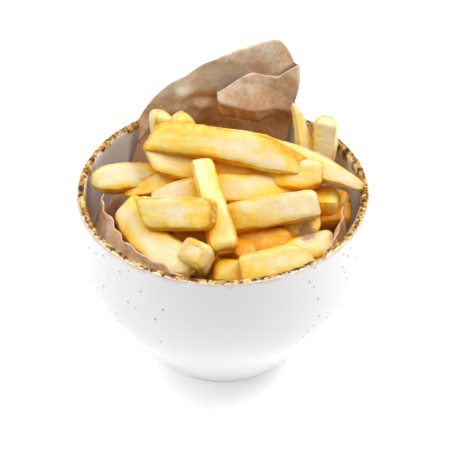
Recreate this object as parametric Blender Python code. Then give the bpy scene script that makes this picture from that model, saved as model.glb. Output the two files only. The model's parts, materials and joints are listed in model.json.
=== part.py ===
"""A portion of thick-cut fries on a sheet of brown paper, in the deep white bowl that it is served in.

Lengths are in millimetres until mm() turns them into metres. The origin is the centre of the bowl's
foot, on the table. +Z is up, the front is towards -Y, and the paper stands up at the back.
"""

import math
from dataclasses import dataclass

import bmesh
import bpy
import numpy as np
from mathutils import Matrix, Vector
from mathutils.geometry import interpolate_bezier

# The bowl: a turned body, 125 mm across its rim and 88 mm tall
RIM_RADIUS = 62.5
BOWL_HEIGHT = 88.0
WALL = 3.8
FLARE_RADIUS = 34.0
FLARE_HANDLE = (58.0, 39.0)
SHOULDER_HANDLE = (66.0, 42.0)
FOOT_RADIUS = 30.5
FOOT_INNER_RADIUS = 27.0
FOOT_HEIGHT = 2.2
RECESS_HEIGHT = 1.4
FLOOR_HEIGHT = 8.0
FLOOR_RADIUS = 16.0
FLOOR_HANDLE = 12.0
FILLET_TOP = 22.0
FILLET_HANDLE = 0.9
FOOT_CHAMFER = 0.4
BOWL_SEGMENTS = 56
WALL_POINTS = 9
FINE_WALL_POINTS = 54
FILLET_POINTS = 5
LIP_POINTS = 5
MERGE_DISTANCE = 0.05
SHARP_ANGLE = math.radians(40)

# The paper: a cup pressed into the bowl, a tall sheet at its back and a flap turned in front of it
PAPER_THICKNESS = 0.6
PAPER_GAP = 1.0
COLUMN_STEP = 6
CUP_TOP = 58.0
CUP_RINGS = 6
CUP_SPREAD = 1.3
SHEET_COLUMNS = (60, 138)
SHEET_ROWS = 7
SHEET_FREE_BELOW = 4.0
SHEET_LEAVING = 1.5
SHEET_OUTLINE = (
    (32, 47, 118),
    (28, 48, 127),
    (22, 49, 130),
    (8, 50, 125),
    (-11, 50, 116),
    (-32, 46, 101),
    (-38, 42, 92),
)
EDGE_COLUMNS = (174, 348)
EDGE_ROWS = 2
EDGE_TOP = 80.0
EDGE_PEAKS = ((174, 6.0), (204, 5.0), (222, 3.0), (240, 1.5), (300, 0.5), (312, 0.5), (324, 4.0), (348, 5.5))
FLAP_FIRST_ROW = 3
FLAP_STEPS = 9
FLAP_LOW = 84.0
FLAP_OUTLINE = ((33, 44, 116), (28, 42, 114), (21, 43, 112), (13, 43, 116), (4, 43, 112), (-1, 43, 106))

# The fries: a core of buried ones under those that show
CORE_GAP = 1.2
CORE_RINGS = ((12, 0.75), (20, 0.98), (32, 1.0), (45, 1.0), (60, 0.90), (73, 0.82), (79, 0.55))
CORE_SLOPE = 0.24
CORE_SLOPE_START = 60.0
CORE_SIDES = 24
FRY_SIDES = 8
SQUARENESS = 0.5
STATIONS = (0.0, 0.1, 0.3, 0.7, 0.9, 1.0)
END_REACH = 0.4


@dataclass(frozen=True)
class Fry:
    """A fry from its start to its end. ends is the share of its section left at each, and flare widens it."""

    name: str
    start: tuple
    end: tuple
    width: float = 12.0
    depth: float = 11.0
    ends: tuple = (0.85, 0.85)
    bow: tuple = (0, 0, 0)
    roll: float = 0.0
    flare: float = 0.0


FRIES = (
    Fry("crown", (-34, 15, 101), (38, -1, 96.5), 14, 13, ends=(0.8, 0.3), bow=(0, 3, 2), roll=32),
    Fry("under_crown", (-33, 11, 91), (42, 2, 92), 13, 12, ends=(0.5, 0.8), bow=(0, 1, -3), roll=22),
    Fry("ridge", (6, 23, 95), (58, -6, 93), 12, 9, ends=(0.7, 0.3), bow=(0, 2, -1), roll=24),
    Fry("bridge", (-9, 2, 99), (0, -39, 84), 10.5, 9, bow=(0, 0, 1), flare=0.3),
    Fry("left_tip", (-57, 5, 87.5), (-10, 12, 82), 12, 11, ends=(0.4, 0.85), bow=(0, 1, 1), roll=28),
    Fry("left_sliver", (-42, 0, 85), (-4, 12, 84), 10, 9, ends=(0.3, 0.85), roll=35),
    Fry("long_middle", (-31, -5, 84), (33, 0, 83.5), 13, 12, ends=(0.3, 0.3), bow=(1, 2, 1), roll=28),
    Fry("left_block", (-33, -21, 88), (-4, -31, 96), 14, 11, roll=44),
    Fry("banana", (-38, -9, 80), (-14, -43, 80), 13, 11, bow=(-6, -4, 0), roll=32),
    Fry("end_on", (-10.5, -42, 87), (-6, -26, 64), 12, 11, roll=20),
    Fry("right_block", (-6, -16, 79), (40, -11, 87), 14, 11, bow=(0, 0, 1), roll=42),
    Fry("front_block", (8, -46, 80.5), (36, -39, 81.5), 13, 12, ends=(0.85, 0.5), roll=36),
    Fry("front_low", (-4, -40, 74), (22, -43, 73), 12, 11, roll=20),
    Fry("upright_wedge", (38, 24, 80), (34, 37, 105), 10, 8, ends=(0.85, 0.25)),
    Fry("upright_block", (44, 23, 80), (46, 31, 102), 11, 9),
    Fry("right_stub", (22, 0, 77), (51, -2, 80), 12, 11, roll=10),
    Fry("skin_end", (12, -17, 71), (39, -13, 78), 12, 12, roll=30),
    Fry("right_low", (24, -25, 68.5), (47, -17, 72), 11, 11, roll=25),
    Fry("shaded_right", (0, -15, 71), (29, -18, 73), 12, 11, roll=30),
    Fry("shaded_front", (3, -14, 72), (11, -30, 71), 11, 10),
    Fry("under_block", (-22, -23, 79), (4, -24, 76), 12, 11, roll=30),
    Fry("left_peak", (-24.5, 26, 76), (-27.5, 31, 105), 11, 9, ends=(0.85, 0.6)),
    Fry("second_peak", (-16, 27, 76), (-19, 31, 104), 12, 9, ends=(0.85, 0.5)),
    Fry("right_filler", (26, 10, 79), (50, 8, 80), 11, 11, roll=20),
)


def mm(*values):
    """A place in millimetres as a vector in metres."""
    return Vector(values) * 0.001


def clear_scene():
    for obj in list(bpy.data.objects):
        bpy.data.objects.remove(obj, do_unlink=True)


def material(name, colour, roughness):
    made = bpy.data.materials.new(name)
    made.use_nodes = True
    shader = made.node_tree.nodes["Principled BSDF"]
    shader.inputs["Base Color"].default_value = (*colour, 1.0)
    shader.inputs["Roughness"].default_value = roughness
    shader.inputs["Metallic"].default_value = 0.0
    return made


def mesh_object(name, points, faces, finish=None, smooth=True):
    """An object from points in millimetres and faces that index them, with its faces turned outwards."""
    mesh = bpy.data.meshes.new(name)
    mesh.from_pydata([mm(*point) for point in points], [], faces)
    made = bmesh.new()
    made.from_mesh(mesh)
    bmesh.ops.recalc_face_normals(made, faces=made.faces)
    made.to_mesh(mesh)
    made.free()
    if finish:
        mesh.materials.append(finish)
    if smooth:
        mesh.shade_smooth()
        mesh.set_sharp_from_angle(angle=SHARP_ANGLE)
    obj = bpy.data.objects.new(name, mesh)
    bpy.context.scene.collection.objects.link(obj)
    return obj


def smooth_path(points, count):
    """Evenly counted points along a smooth curve through the given ones."""
    knots = np.array(points, float)
    padded = np.vstack([2 * knots[0] - knots[1], knots, 2 * knots[-1] - knots[-2]])
    path = []
    for place in np.linspace(0, len(knots) - 1, count):
        first = min(int(place), len(knots) - 2)
        t = place - first
        a, b, c, d = padded[first : first + 4]
        square = (2 * a - 5 * b + 4 * c - d) * t**2
        cube = (3 * b - a - 3 * c + d) * t**3
        path.append((2 * b + (c - a) * t + square + cube) / 2)
    return path


def flat_curve(start, first_handle, second_handle, end, count):
    """Points of one cubic curve in the plane of radius and height."""
    corners = [Vector((radius, 0, height)) for radius, height in (start, first_handle, second_handle, end)]
    return [(point.x, point.z) for point in interpolate_bezier(*corners, count)]


# ---- the bowl ----


def outer_wall(count):
    """Radius and height up the outside, from the flare above the foot to the start of the lip."""
    top = (RIM_RADIUS, BOWL_HEIGHT - WALL / 2)
    return flat_curve((FLARE_RADIUS, FOOT_HEIGHT), FLARE_HANDLE, SHOULDER_HANDLE, top, count)


def inner_wall(count):
    """Radius and height up the inside: the outer wall moved in by the wall's thickness, above the fillet."""
    outside = np.array(outer_wall(FINE_WALL_POINTS))
    along = np.gradient(outside, axis=0)
    along /= np.linalg.norm(along, axis=1)[:, None]
    inside = outside + WALL * np.column_stack([-along[:, 1], along[:, 0]])
    heights = np.linspace(FILLET_TOP, BOWL_HEIGHT - WALL / 2, count)
    return list(zip(np.interp(heights, inside[:, 1], inside[:, 0]), heights))


def floor_fillet():
    """The round corner between the flat floor and the inner wall."""
    low, after = inner_wall(WALL_POINTS)[:2]
    handle = tuple(value - FILLET_HANDLE * (other - value) for value, other in zip(low, after))
    start = (FLOOR_RADIUS, FLOOR_HEIGHT)
    return flat_curve(start, (FLOOR_RADIUS + FLOOR_HANDLE, FLOOR_HEIGHT), handle, low, FILLET_POINTS)


def inner_profile():
    """Radius and height from the edge of the flat floor up the inside to the lip."""
    return floor_fillet() + inner_wall(WALL_POINTS)[1:]


def lip(count):
    """The rounded top of the wall, from its inner side over to its outer side."""
    half = WALL / 2
    turns = [math.pi * (1 - step / (count + 1)) for step in range(1, count + 1)]
    middle = (RIM_RADIUS - half, BOWL_HEIGHT - half)
    return [(middle[0] + half * math.cos(turn), middle[1] + half * math.sin(turn)) for turn in turns]


def inner_radius(height):
    """The inside of the bowl at a height above its floor."""
    profile = inner_profile() + [(RIM_RADIUS - WALL, BOWL_HEIGHT * 2)]
    return float(np.interp(height, [point[1] for point in profile], [point[0] for point in profile]))


def make_bowl():
    foot = [
        (FOOT_RADIUS, FOOT_HEIGHT - FOOT_CHAMFER),
        (FOOT_RADIUS, FOOT_CHAMFER),
        (FOOT_RADIUS - FOOT_CHAMFER, 0.0),
        (FOOT_INNER_RADIUS, 0.0),
        (FOOT_INNER_RADIUS - 2 * FOOT_CHAMFER, RECESS_HEIGHT),
        (0.0, RECESS_HEIGHT),
    ]
    outside = list(reversed(outer_wall(WALL_POINTS)))
    profile = [(0.0, FLOOR_HEIGHT)] + inner_profile() + lip(LIP_POINTS) + outside + foot
    mesh = bpy.data.meshes.new("bowl")
    points = [mm(radius, 0, height) for radius, height in profile]
    mesh.from_pydata(points, [(number, number + 1) for number in range(len(points) - 1)], [])
    mesh.materials.append(material("white_glaze", (0.86, 0.86, 0.86), 0.2))
    bowl = bpy.data.objects.new("bowl", mesh)
    bpy.context.scene.collection.objects.link(bowl)
    turn = bowl.modifiers.new("turned", "SCREW")
    turn.steps = turn.render_steps = BOWL_SEGMENTS
    turn.use_merge_vertices = True
    turn.merge_threshold = MERGE_DISTANCE * 0.001
    return bowl


# ---- the paper ----


def ring_point(column, height, lean=0.0):
    """A point of the paper against the wall, leaning in from it by a distance."""
    radius = inner_radius(height) - PAPER_GAP - lean
    turn = math.radians(column)
    return (radius * math.cos(turn), radius * math.sin(turn), height)


def cup_patch():
    """The closed part of the paper, from the middle of the floor to the level where its free edges start."""
    columns = range(0, 360, COLUMN_STEP)
    floor = FLOOR_HEIGHT + PAPER_GAP
    points = {("floor", 0): (0.0, 0.0, floor)}
    rises = [(ring / CUP_RINGS) ** CUP_SPREAD for ring in range(1, CUP_RINGS + 1)]
    heights = [floor + (CUP_TOP - floor) * rise for rise in rises]
    for column in columns:
        turn = math.radians(column)
        points[column, 0] = (FLOOR_RADIUS * math.cos(turn), FLOOR_RADIUS * math.sin(turn), floor)
        for ring, height in enumerate(heights, 1):
            points[column, ring] = ring_point(column, height)
    faces = []
    for column in columns:
        after = (column + COLUMN_STEP) % 360
        faces.append([("floor", 0), (column, 0), (after, 0)])
        for ring in range(CUP_RINGS):
            faces.append([(column, ring), (after, ring), (after, ring + 1), (column, ring + 1)])
    return points, faces


def strip_faces(keys):
    """Four-sided faces between neighbouring columns of keys."""
    faces = []
    for left, right in zip(keys, keys[1:]):
        for row in range(len(left) - 1):
            faces.append([left[row], right[row], right[row + 1], left[row + 1]])
    return faces


def sheet_patch():
    """The tall sheet at the back: it follows the wall up to the rim and then stands almost flat."""
    first, last = SHEET_COLUMNS
    columns = list(range(first, last + 1, COLUMN_STEP))
    tops = smooth_path(SHEET_OUTLINE, len(columns))
    points, keys = {}, []
    for column, top in zip(columns, tops):
        keys.append([(column, CUP_RINGS)] + [("sheet", column, row) for row in range(1, SHEET_ROWS + 1)])
        for row in range(1, SHEET_ROWS + 1):
            rise = row / SHEET_ROWS
            height = CUP_TOP + (top[2] - CUP_TOP) * rise
            wall = ring_point(column, min(height, BOWL_HEIGHT - SHEET_FREE_BELOW))
            free = min(1.0, rise * SHEET_LEAVING) ** 2
            x, y = wall[0] + (top[0] - wall[0]) * free, wall[1] + (top[1] - wall[1]) * free
            points["sheet", column, row] = (x, y, height)
    return points, strip_faces(keys), keys[0]


def edge_patch():
    """The low free edge of the paper round the left, the front and the right, leaning in at its two ends."""
    first, last = EDGE_COLUMNS
    columns = list(range(first, last + 1, COLUMN_STEP))
    points, keys = {}, []
    for column in columns:
        lean = float(np.interp(column, *zip(*EDGE_PEAKS)))
        keys.append([(column, CUP_RINGS)] + [("edge", column, row) for row in range(1, EDGE_ROWS + 1)])
        for row in range(1, EDGE_ROWS + 1):
            rise = row / EDGE_ROWS
            height = CUP_TOP + (EDGE_TOP - CUP_TOP) * rise
            points["edge", column, row] = ring_point(column, height, lean * rise)
    return points, strip_faces(keys)


def flap_patch(fold):
    """The flap: it turns round the right edge of the tall sheet and comes back in front of it."""
    rows = len(fold) - FLAP_FIRST_ROW
    points, keys = {}, [fold[FLAP_FIRST_ROW:]]
    for step, top in enumerate(smooth_path(FLAP_OUTLINE, FLAP_STEPS)):
        keys.append([("flap", step, row) for row in range(rows)])
        for row in range(rows):
            height = FLAP_LOW + (top[2] - FLAP_LOW) * row / (rows - 1)
            points["flap", step, row] = (top[0], top[1], height)
    return points, strip_faces(keys)


def make_paper():
    points, faces = cup_patch()
    sheet_points, sheet_faces, fold = sheet_patch()
    for more_points, more_faces in ((sheet_points, sheet_faces), edge_patch(), flap_patch(fold)):
        points.update(more_points)
        faces += more_faces
    index = {key: number for number, key in enumerate(points)}
    finish = material("brown_paper", (0.50, 0.33, 0.22), 0.75)
    numbered = [[index[key] for key in face] for face in faces]
    paper = mesh_object("paper_liner", list(points.values()), numbered, finish)
    thick = paper.modifiers.new("thickness", "SOLIDIFY")
    thick.thickness = PAPER_THICKNESS * 0.001
    thick.offset = 0.0
    return paper


# ---- the fries ----


def section_scale(along, ends):
    """The share of its full section that a fry has at a station: each end narrows over its reach."""
    start_loss = (1 - ends[0]) * max(0.0, 1 - along / END_REACH) ** 2
    end_loss = (1 - ends[1]) * max(0.0, 1 - (1 - along) / END_REACH) ** 2
    return 1 - start_loss - end_loss


def fry_mesh(fry):
    """Points and faces of a fry, lying along X from the origin to its length, with its bow left out."""
    length = (Vector(fry.end) - Vector(fry.start)).length
    points, faces = [], []
    for station in STATIONS:
        scale = section_scale(station, fry.ends)
        width = fry.width * (1 + fry.flare * (station - 0.5))
        for side in range(FRY_SIDES):
            turn = 2 * math.pi * (side + 0.5) / FRY_SIDES
            across = math.copysign(abs(math.cos(turn)) ** SQUARENESS, math.cos(turn))
            above = math.copysign(abs(math.sin(turn)) ** SQUARENESS, math.sin(turn))
            points.append((station * length, across * scale * width / 2, above * scale * fry.depth / 2))
    for ring in range(len(STATIONS) - 1):
        for side in range(FRY_SIDES):
            after = (side + 1) % FRY_SIDES
            low, high = ring * FRY_SIDES, (ring + 1) * FRY_SIDES
            faces.append([low + side, low + after, high + after, high + side])
    faces.append(list(range(FRY_SIDES)))
    faces.append(list(range(len(points) - FRY_SIDES, len(points))))
    return points, faces


def place_fry(obj, fry):
    """Turns the fry from X to its own line, rolled about it, and bows it by moving its middle sideways."""
    along = (Vector(fry.end) - Vector(fry.start)).normalized()
    across = Vector((0, 0, 1)).cross(along).normalized()
    turned = Matrix((along, across, along.cross(across))).transposed().to_4x4()
    rolled = turned @ Matrix.Rotation(math.radians(fry.roll), 4, "X")
    obj.matrix_world = Matrix.Translation(mm(*fry.start)) @ rolled
    bow = rolled.to_3x3().inverted() @ mm(*fry.bow)
    length = (mm(*fry.end) - mm(*fry.start)).length
    for vertex in obj.data.vertices:
        along_way = vertex.co.x / length
        vertex.co += bow * 4 * along_way * (1 - along_way)


def core_mesh():
    """The buried fries as one mound, low at the front and higher at the back, clear of the paper round it."""
    points, faces = [], []
    for height, fill in CORE_RINGS:
        radius = (inner_radius(height) - PAPER_GAP - CORE_GAP) * fill
        for side in range(CORE_SIDES):
            turn = 2 * math.pi * side / CORE_SIDES
            x, y = radius * math.cos(turn), radius * math.sin(turn)
            sloped = max(0.0, (height - CORE_SLOPE_START) / (CORE_RINGS[-1][0] - CORE_SLOPE_START))
            points.append((x, y, height + CORE_SLOPE * y * sloped))
    for ring in range(len(CORE_RINGS) - 1):
        for side in range(CORE_SIDES):
            after = (side + 1) % CORE_SIDES
            low, high = ring * CORE_SIDES, (ring + 1) * CORE_SIDES
            faces.append([low + side, low + after, high + after, high + side])
    for ring_start in (0, len(points) - CORE_SIDES):
        faces.append(list(range(ring_start, ring_start + CORE_SIDES)))
    return points, faces


def make_fries():
    """The heap as one solid: the core joined with every fry that shows."""
    finish = material("fried_potato", (0.90, 0.62, 0.20), 0.45)
    heap = mesh_object("fries_heap", *core_mesh(), finish)
    pieces = bpy.data.collections.new("fry_pieces")
    bpy.context.scene.collection.children.link(pieces)
    for fry in FRIES:
        piece = mesh_object("fry_" + fry.name, *fry_mesh(fry), finish)
        place_fry(piece, fry)
        bpy.context.scene.collection.objects.unlink(piece)
        pieces.objects.link(piece)
        piece.hide_render = True
        piece.display_type = "WIRE"
    joined = heap.modifiers.new("fries", "BOOLEAN")
    joined.operation = "UNION"
    joined.operand_type = "COLLECTION"
    joined.collection = pieces
    return heap


def main():
    clear_scene()
    make_bowl()
    make_paper()
    make_fries()


main()
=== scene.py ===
"""The looks of a portion of thick-cut fries, heaped on brown paper in a deep white bowl with a rustic rim.

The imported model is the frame. Each class below builds one sub-assembly round it and dresses it: Bowl,
PaperLiner, FryHeap and Studio. Their sizes are in millimetres until MM turns them into metres. The origin
is the centre of the bowl's foot, +Z is up, the front is towards -Y, and the paper stands up at the back.
"""

import json
import logging
import math
import random
from dataclasses import dataclass, replace
from enum import Enum

import bmesh
import bpy
import numpy as np
from mathutils import Matrix, Vector, noise
from mathutils.bvhtree import BVHTree
from mathutils.geometry import interpolate_bezier

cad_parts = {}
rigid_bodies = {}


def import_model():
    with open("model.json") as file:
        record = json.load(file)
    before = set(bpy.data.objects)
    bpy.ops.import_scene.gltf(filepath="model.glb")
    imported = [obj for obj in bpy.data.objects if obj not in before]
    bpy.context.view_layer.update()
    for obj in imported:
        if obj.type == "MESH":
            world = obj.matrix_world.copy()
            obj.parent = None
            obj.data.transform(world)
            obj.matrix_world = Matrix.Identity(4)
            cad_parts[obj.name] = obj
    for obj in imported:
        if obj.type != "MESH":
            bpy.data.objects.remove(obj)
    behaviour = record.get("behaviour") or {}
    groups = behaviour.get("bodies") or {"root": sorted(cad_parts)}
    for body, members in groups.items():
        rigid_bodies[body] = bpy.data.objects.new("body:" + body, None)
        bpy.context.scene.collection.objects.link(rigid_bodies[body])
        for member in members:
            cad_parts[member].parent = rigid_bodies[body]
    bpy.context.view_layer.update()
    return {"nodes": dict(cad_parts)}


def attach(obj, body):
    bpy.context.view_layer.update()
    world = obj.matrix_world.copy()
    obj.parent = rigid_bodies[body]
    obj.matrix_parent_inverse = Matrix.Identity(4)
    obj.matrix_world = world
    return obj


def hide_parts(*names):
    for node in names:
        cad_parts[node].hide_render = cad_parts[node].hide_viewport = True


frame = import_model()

MM = 0.001
ROOT = "root"
WHITE = (1.0, 1.0, 1.0, 1.0)
log = logging.getLogger("fries")

Socket = bpy.types.NodeSocket
Pair = tuple[float, float]
Triple = tuple[float, float, float]


# ---- node trees ----


class Wiring:
    """Adds nodes to one tree and joins them.

    A value that goes into a node is a number, a tuple, a material or another node's socket.
    """

    def __init__(self, tree: bpy.types.NodeTree) -> None:
        """Starts wiring a tree.

        Args:
            tree: the shader or geometry tree that the nodes go into.
        """
        self.tree = tree

    def plug(self, socket: Socket, value: object) -> None:
        """Sets a socket, or links another one to it.

        Args:
            socket: the input to set.
            value: what goes in.
        """
        if isinstance(value, bpy.types.NodeSocket):
            self.tree.links.new(value, socket)
        else:
            socket.default_value = value

    def node(self, kind: str, plugs: dict | None = None, **settings: object) -> bpy.types.Node:
        """Adds a node.

        Args:
            kind: Blender's name of the node.
            plugs: a value for each input, by the input's name or number.
            settings: the node's own properties.

        Returns:
            The new node.
        """
        made = self.tree.nodes.new(kind)
        for name, value in settings.items():
            setattr(made, name, value)
        for name, value in (plugs or {}).items():
            self.plug(made.inputs[name], value)
        return made

    def math(self, operation: str, *values: object) -> Socket:
        """The result of one operation on numbers."""
        return self.node("ShaderNodeMath", dict(enumerate(values)), operation=operation).outputs[0]

    def less(self, value: object, amount: object) -> Socket:
        """A number with an amount taken off it."""
        return self.math("SUBTRACT", value, amount)

    def vector(self, operation: str, *values: object) -> Socket:
        """The result of one operation on vectors.

        Args:
            operation: Blender's name of the operation.
            values: what it works on, in order.

        Returns:
            A vector, or a number where the operation gives one.
        """
        made = self.node("ShaderNodeVectorMath", dict(enumerate(values)), operation=operation)
        return made.outputs["Value" if operation in ("LENGTH", "DOT_PRODUCT", "DISTANCE") else "Vector"]

    def scaled(self, vector: object, share: object) -> Socket:
        """A vector times a number."""
        return self.node("ShaderNodeVectorMath", {0: vector, "Scale": share}, operation="SCALE").outputs[0]

    def total(self, *values: object) -> Socket:
        """The sum of several numbers.

        Args:
            values: the numbers.

        Returns:
            Their sum.
        """
        result = values[0]
        for value in values[1:]:
            result = self.math("ADD", result, value)
        return result

    def product(self, *values: object) -> Socket:
        """The product of several numbers.

        Args:
            values: the numbers.

        Returns:
            Their product.
        """
        result = values[0]
        for value in values[1:]:
            result = self.math("MULTIPLY", result, value)
        return result

    def split(self, vector: object) -> list[Socket]:
        """The X, Y and Z of a vector."""
        return list(self.node("ShaderNodeSeparateXYZ", {0: vector}).outputs)

    def join(self, x: object, y: object, z: object) -> Socket:
        """A vector from its X, Y and Z."""
        return self.node("ShaderNodeCombineXYZ", {0: x, 1: y, 2: z}).outputs[0]

    def step(
        self, value: object, low: object, high: object, start: float = 0.0, end: float = 1.0
    ) -> Socket:
        """A smooth step.

        Args:
            value: the number that drives it.
            low: where the step starts.
            high: where it ends.
            start: its result up to low.
            end: its result from high on.

        Returns:
            The stepped number.
        """
        plugs = {"Value": value, "From Min": low, "From Max": high, "To Min": start, "To Max": end}
        return self.node("ShaderNodeMapRange", plugs, interpolation_type="SMOOTHSTEP").outputs[0]

    def noise(
        self, place: object, scale: float, detail: float = 2.0, rough: float = 0.5, bend: float = 0.0
    ) -> Socket:
        """Soft noise from about 0.3 to 0.7.

        Args:
            place: the coordinates.
            scale: features to a metre.
            detail: how many finer layers it has.
            rough: how strong those are.
            bend: how far it is distorted.

        Returns:
            The noise as a number.
        """
        plugs = {"Vector": place, "Scale": scale, "Detail": detail, "Roughness": rough, "Distortion": bend}
        return self.node("ShaderNodeTexNoise", plugs).outputs[0]

    def grain(
        self, place: object, scale: float, detail: float = 2.0, rough: float = 0.5, bend: float = 0.0
    ) -> Socket:
        """Soft noise about zero.

        Args:
            place: the coordinates.
            scale: features to a metre.
            detail: how many finer layers it has.
            rough: how strong those are.
            bend: how far it is distorted.

        Returns:
            The noise as a number from about -0.2 to 0.2.
        """
        return self.less(self.noise(place, scale, detail, rough, bend), 0.5)

    def stretched(self, place: object, scales: Triple) -> Socket:
        """Coordinates scaled by another amount along each axis."""
        return self.node("ShaderNodeMapping", {"Vector": place, "Scale": scales}).outputs[0]

    def bump(self, height: Socket, strength: float, distance: float) -> Socket:
        """The normals of a surface with small bumps.

        Args:
            height: how high each place is, as a share of the distance.
            strength: how much the bumps show.
            distance: how high a height of 1 is, in metres.

        Returns:
            The normals.
        """
        plugs = {"Strength": strength, "Distance": distance, "Height": height}
        return self.node("ShaderNodeBump", plugs).outputs[0]

    def drift(self, place: object, scale: float) -> Socket:
        """Noise as a vector whose parts run from about -0.5 to 0.5."""
        made = self.node("ShaderNodeTexNoise", {"Vector": place, "Scale": scale, "Detail": 1.0})
        return self.vector("SUBTRACT", made.outputs["Color"], (0.5, 0.5, 0.5))

    def blend(self, share: object, first: object, second: object, mode: str = "MIX") -> Socket:
        """Two colours mixed.

        Args:
            share: how much of the second.
            first: the colour, as three numbers or a socket.
            second: the other one.
            mode: how they are mixed.

        Returns:
            The mixed colour.
        """
        made = self.node("ShaderNodeMix", {0: share}, data_type="RGBA", blend_type=mode)
        for number, colour in ((6, first), (7, second)):
            self.plug(made.inputs[number], (*colour, 1.0) if isinstance(colour, tuple) else colour)
        return made.outputs[2]

    def ramp(self, value: object, stops: list[tuple[float, Triple]], mode: str = "LINEAR") -> Socket:
        """A colour ramp.

        Args:
            value: the number that drives it.
            stops: the place and the colour of each stop.
            mode: how it goes from one to the next.

        Returns:
            The colour.
        """
        made = self.node("ShaderNodeValToRGB", {0: value})
        made.color_ramp.interpolation = mode
        spare = made.color_ramp.elements
        while len(spare) < len(stops):
            spare.new(0.5)
        for element, (place, colour) in zip(spare, stops):
            element.position = place
            element.color = (*colour, 1.0)
        return made.outputs[0]

    def attribute(self, name: str, part: str = "Fac") -> Socket:
        """What the mesh stores under a name: Fac for a number, Vector for a place."""
        return self.node("ShaderNodeAttribute", attribute_name=name).outputs[part]


def new_material(name: str) -> tuple[bpy.types.Material, Wiring, bpy.types.Node]:
    """An empty material.

    Args:
        name: the material's name.

    Returns:
        The material, the wiring of its tree, and its Principled shader.
    """
    made = bpy.data.materials.new(name)
    made.use_nodes = True
    return made, Wiring(made.node_tree), made.node_tree.nodes["Principled BSDF"]


def new_shape_tree(
    name: str, inputs: dict[str, tuple[str, object]]
) -> tuple[bpy.types.NodeTree, Wiring, dict[str, Socket]]:
    """An empty Geometry Nodes tree.

    Args:
        name: the tree's name.
        inputs: each named input's kind, without its NodeSocket prefix, and what it holds at first.

    Returns:
        The tree, its wiring, and the sockets of its inputs by name.
    """
    tree = bpy.data.node_groups.new(name, "GeometryNodeTree")
    tree.interface.new_socket("Geometry", in_out="OUTPUT", socket_type="NodeSocketGeometry")
    for title, (kind, value) in inputs.items():
        made = tree.interface.new_socket(title, in_out="INPUT", socket_type="NodeSocket" + kind)
        if value is not None:
            made.default_value = value
    wire = Wiring(tree)
    entry = wire.node("NodeGroupInput")
    return tree, wire, {socket.name: socket for socket in entry.outputs if socket.name}


def end_tree(wire: Wiring, shape: Socket, finish: Socket) -> None:
    """Closes a tree: smooth shading, real geometry instead of instances, and the finish.

    Args:
        wire: the tree's wiring.
        shape: the geometry so far.
        finish: the material to give it.
    """
    smooth = wire.node("GeometryNodeSetShadeSmooth", {"Geometry": shape}).outputs[0]
    real = wire.node("GeometryNodeRealizeInstances", {"Geometry": smooth}).outputs[0]
    dressed = wire.node("GeometryNodeSetMaterial", {"Geometry": real, "Material": finish}).outputs[0]
    wire.node("NodeGroupOutput", {0: dressed})


def store(wire: Wiring, shape: Socket, name: str, value: Socket, kind: str = "FLOAT") -> Socket:
    """Stores a field on the points of a shape.

    Args:
        wire: the tree's wiring.
        shape: the geometry so far.
        name: the attribute's name, which a finish reads it by.
        value: the field.
        kind: what the attribute holds.

    Returns:
        The shape with the attribute.
    """
    plugs = {"Geometry": shape, "Name": name, "Value": value}
    return wire.node("GeometryNodeStoreNamedAttribute", plugs, data_type=kind, domain="POINT").outputs[0]


def shaped_by(
    name: str,
    tree: bpy.types.NodeTree,
    values: dict[str, object],
    mesh: bpy.types.Mesh | None = None,
) -> bpy.types.Object:
    """An object shaped by a tree, which is still live on it.

    Args:
        name: the object's name.
        tree: the Geometry Nodes tree.
        values: what goes into its named inputs.
        mesh: what the tree starts from, if anything.

    Returns:
        The object, linked to the scene.
    """
    obj = bpy.data.objects.new(name, mesh or bpy.data.meshes.new(name))
    bpy.context.scene.collection.objects.link(obj)
    shaper = obj.modifiers.new("shape", "NODES")
    shaper.node_group = tree
    sockets = {item.name: item.identifier for item in tree.interface.items_tree if item.in_out == "INPUT"}
    for title, value in values.items():
        shaper[sockets[title]] = value
    return obj


def settled(obj: bpy.types.Object) -> bpy.types.Object:
    """Turns an object's modifiers into plain mesh.

    Args:
        obj: the object.

    Returns:
        The same object, with the evaluated mesh and no modifiers.
    """
    graph = bpy.context.evaluated_depsgraph_get()
    graph.update()
    mesh = bpy.data.meshes.new_from_object(obj.evaluated_get(graph), depsgraph=graph)
    mesh.name = obj.name
    obj.modifiers.clear()
    obj.data = mesh
    return obj


def mesh_piece(name: str, points: np.ndarray, faces: list, finish: bpy.types.Material) -> bpy.types.Object:
    """An object from points in millimetres.

    Args:
        name: the object's name.
        points: its points.
        faces: the corners of each face, as numbers of points.
        finish: its material.

    Returns:
        The object, linked to the scene, with its faces turned outwards.
    """
    mesh = bpy.data.meshes.new(name)
    mesh.from_pydata((np.asarray(points, float) * MM).tolist(), [], faces)
    made = bmesh.new()
    made.from_mesh(mesh)
    bmesh.ops.recalc_face_normals(made, faces=made.faces)
    made.to_mesh(mesh)
    made.free()
    mesh.materials.append(finish)
    mesh.shade_smooth()
    obj = bpy.data.objects.new(name, mesh)
    bpy.context.scene.collection.objects.link(obj)
    return obj


def smooth_path(points: tuple, count: int) -> np.ndarray:
    """A smooth curve through points, which starts at the first and ends at the last.

    Args:
        points: the points it goes through.
        count: how many points to read from it.

    Returns:
        One row of coordinates for each.
    """
    knots = np.array(points, float)
    padded = np.vstack([2 * knots[0] - knots[1], knots, 2 * knots[-1] - knots[-2]])
    path = []
    for place in np.linspace(0, len(knots) - 1, count):
        first = min(int(place), len(knots) - 2)
        t = place - first
        a, b, c, d = padded[first : first + 4]
        even = 2 * b + (c - a) * t + (2 * a - 5 * b + 4 * c - d) * t**2
        path.append(0.5 * (even + (3 * b - a - 3 * c + d) * t**3))
    return np.array(path)


def ease(value: float) -> float:
    """A smooth step from 0 to 1."""
    held = min(1.0, max(0.0, value))
    return held * held * (3 - 2 * held)


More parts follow.
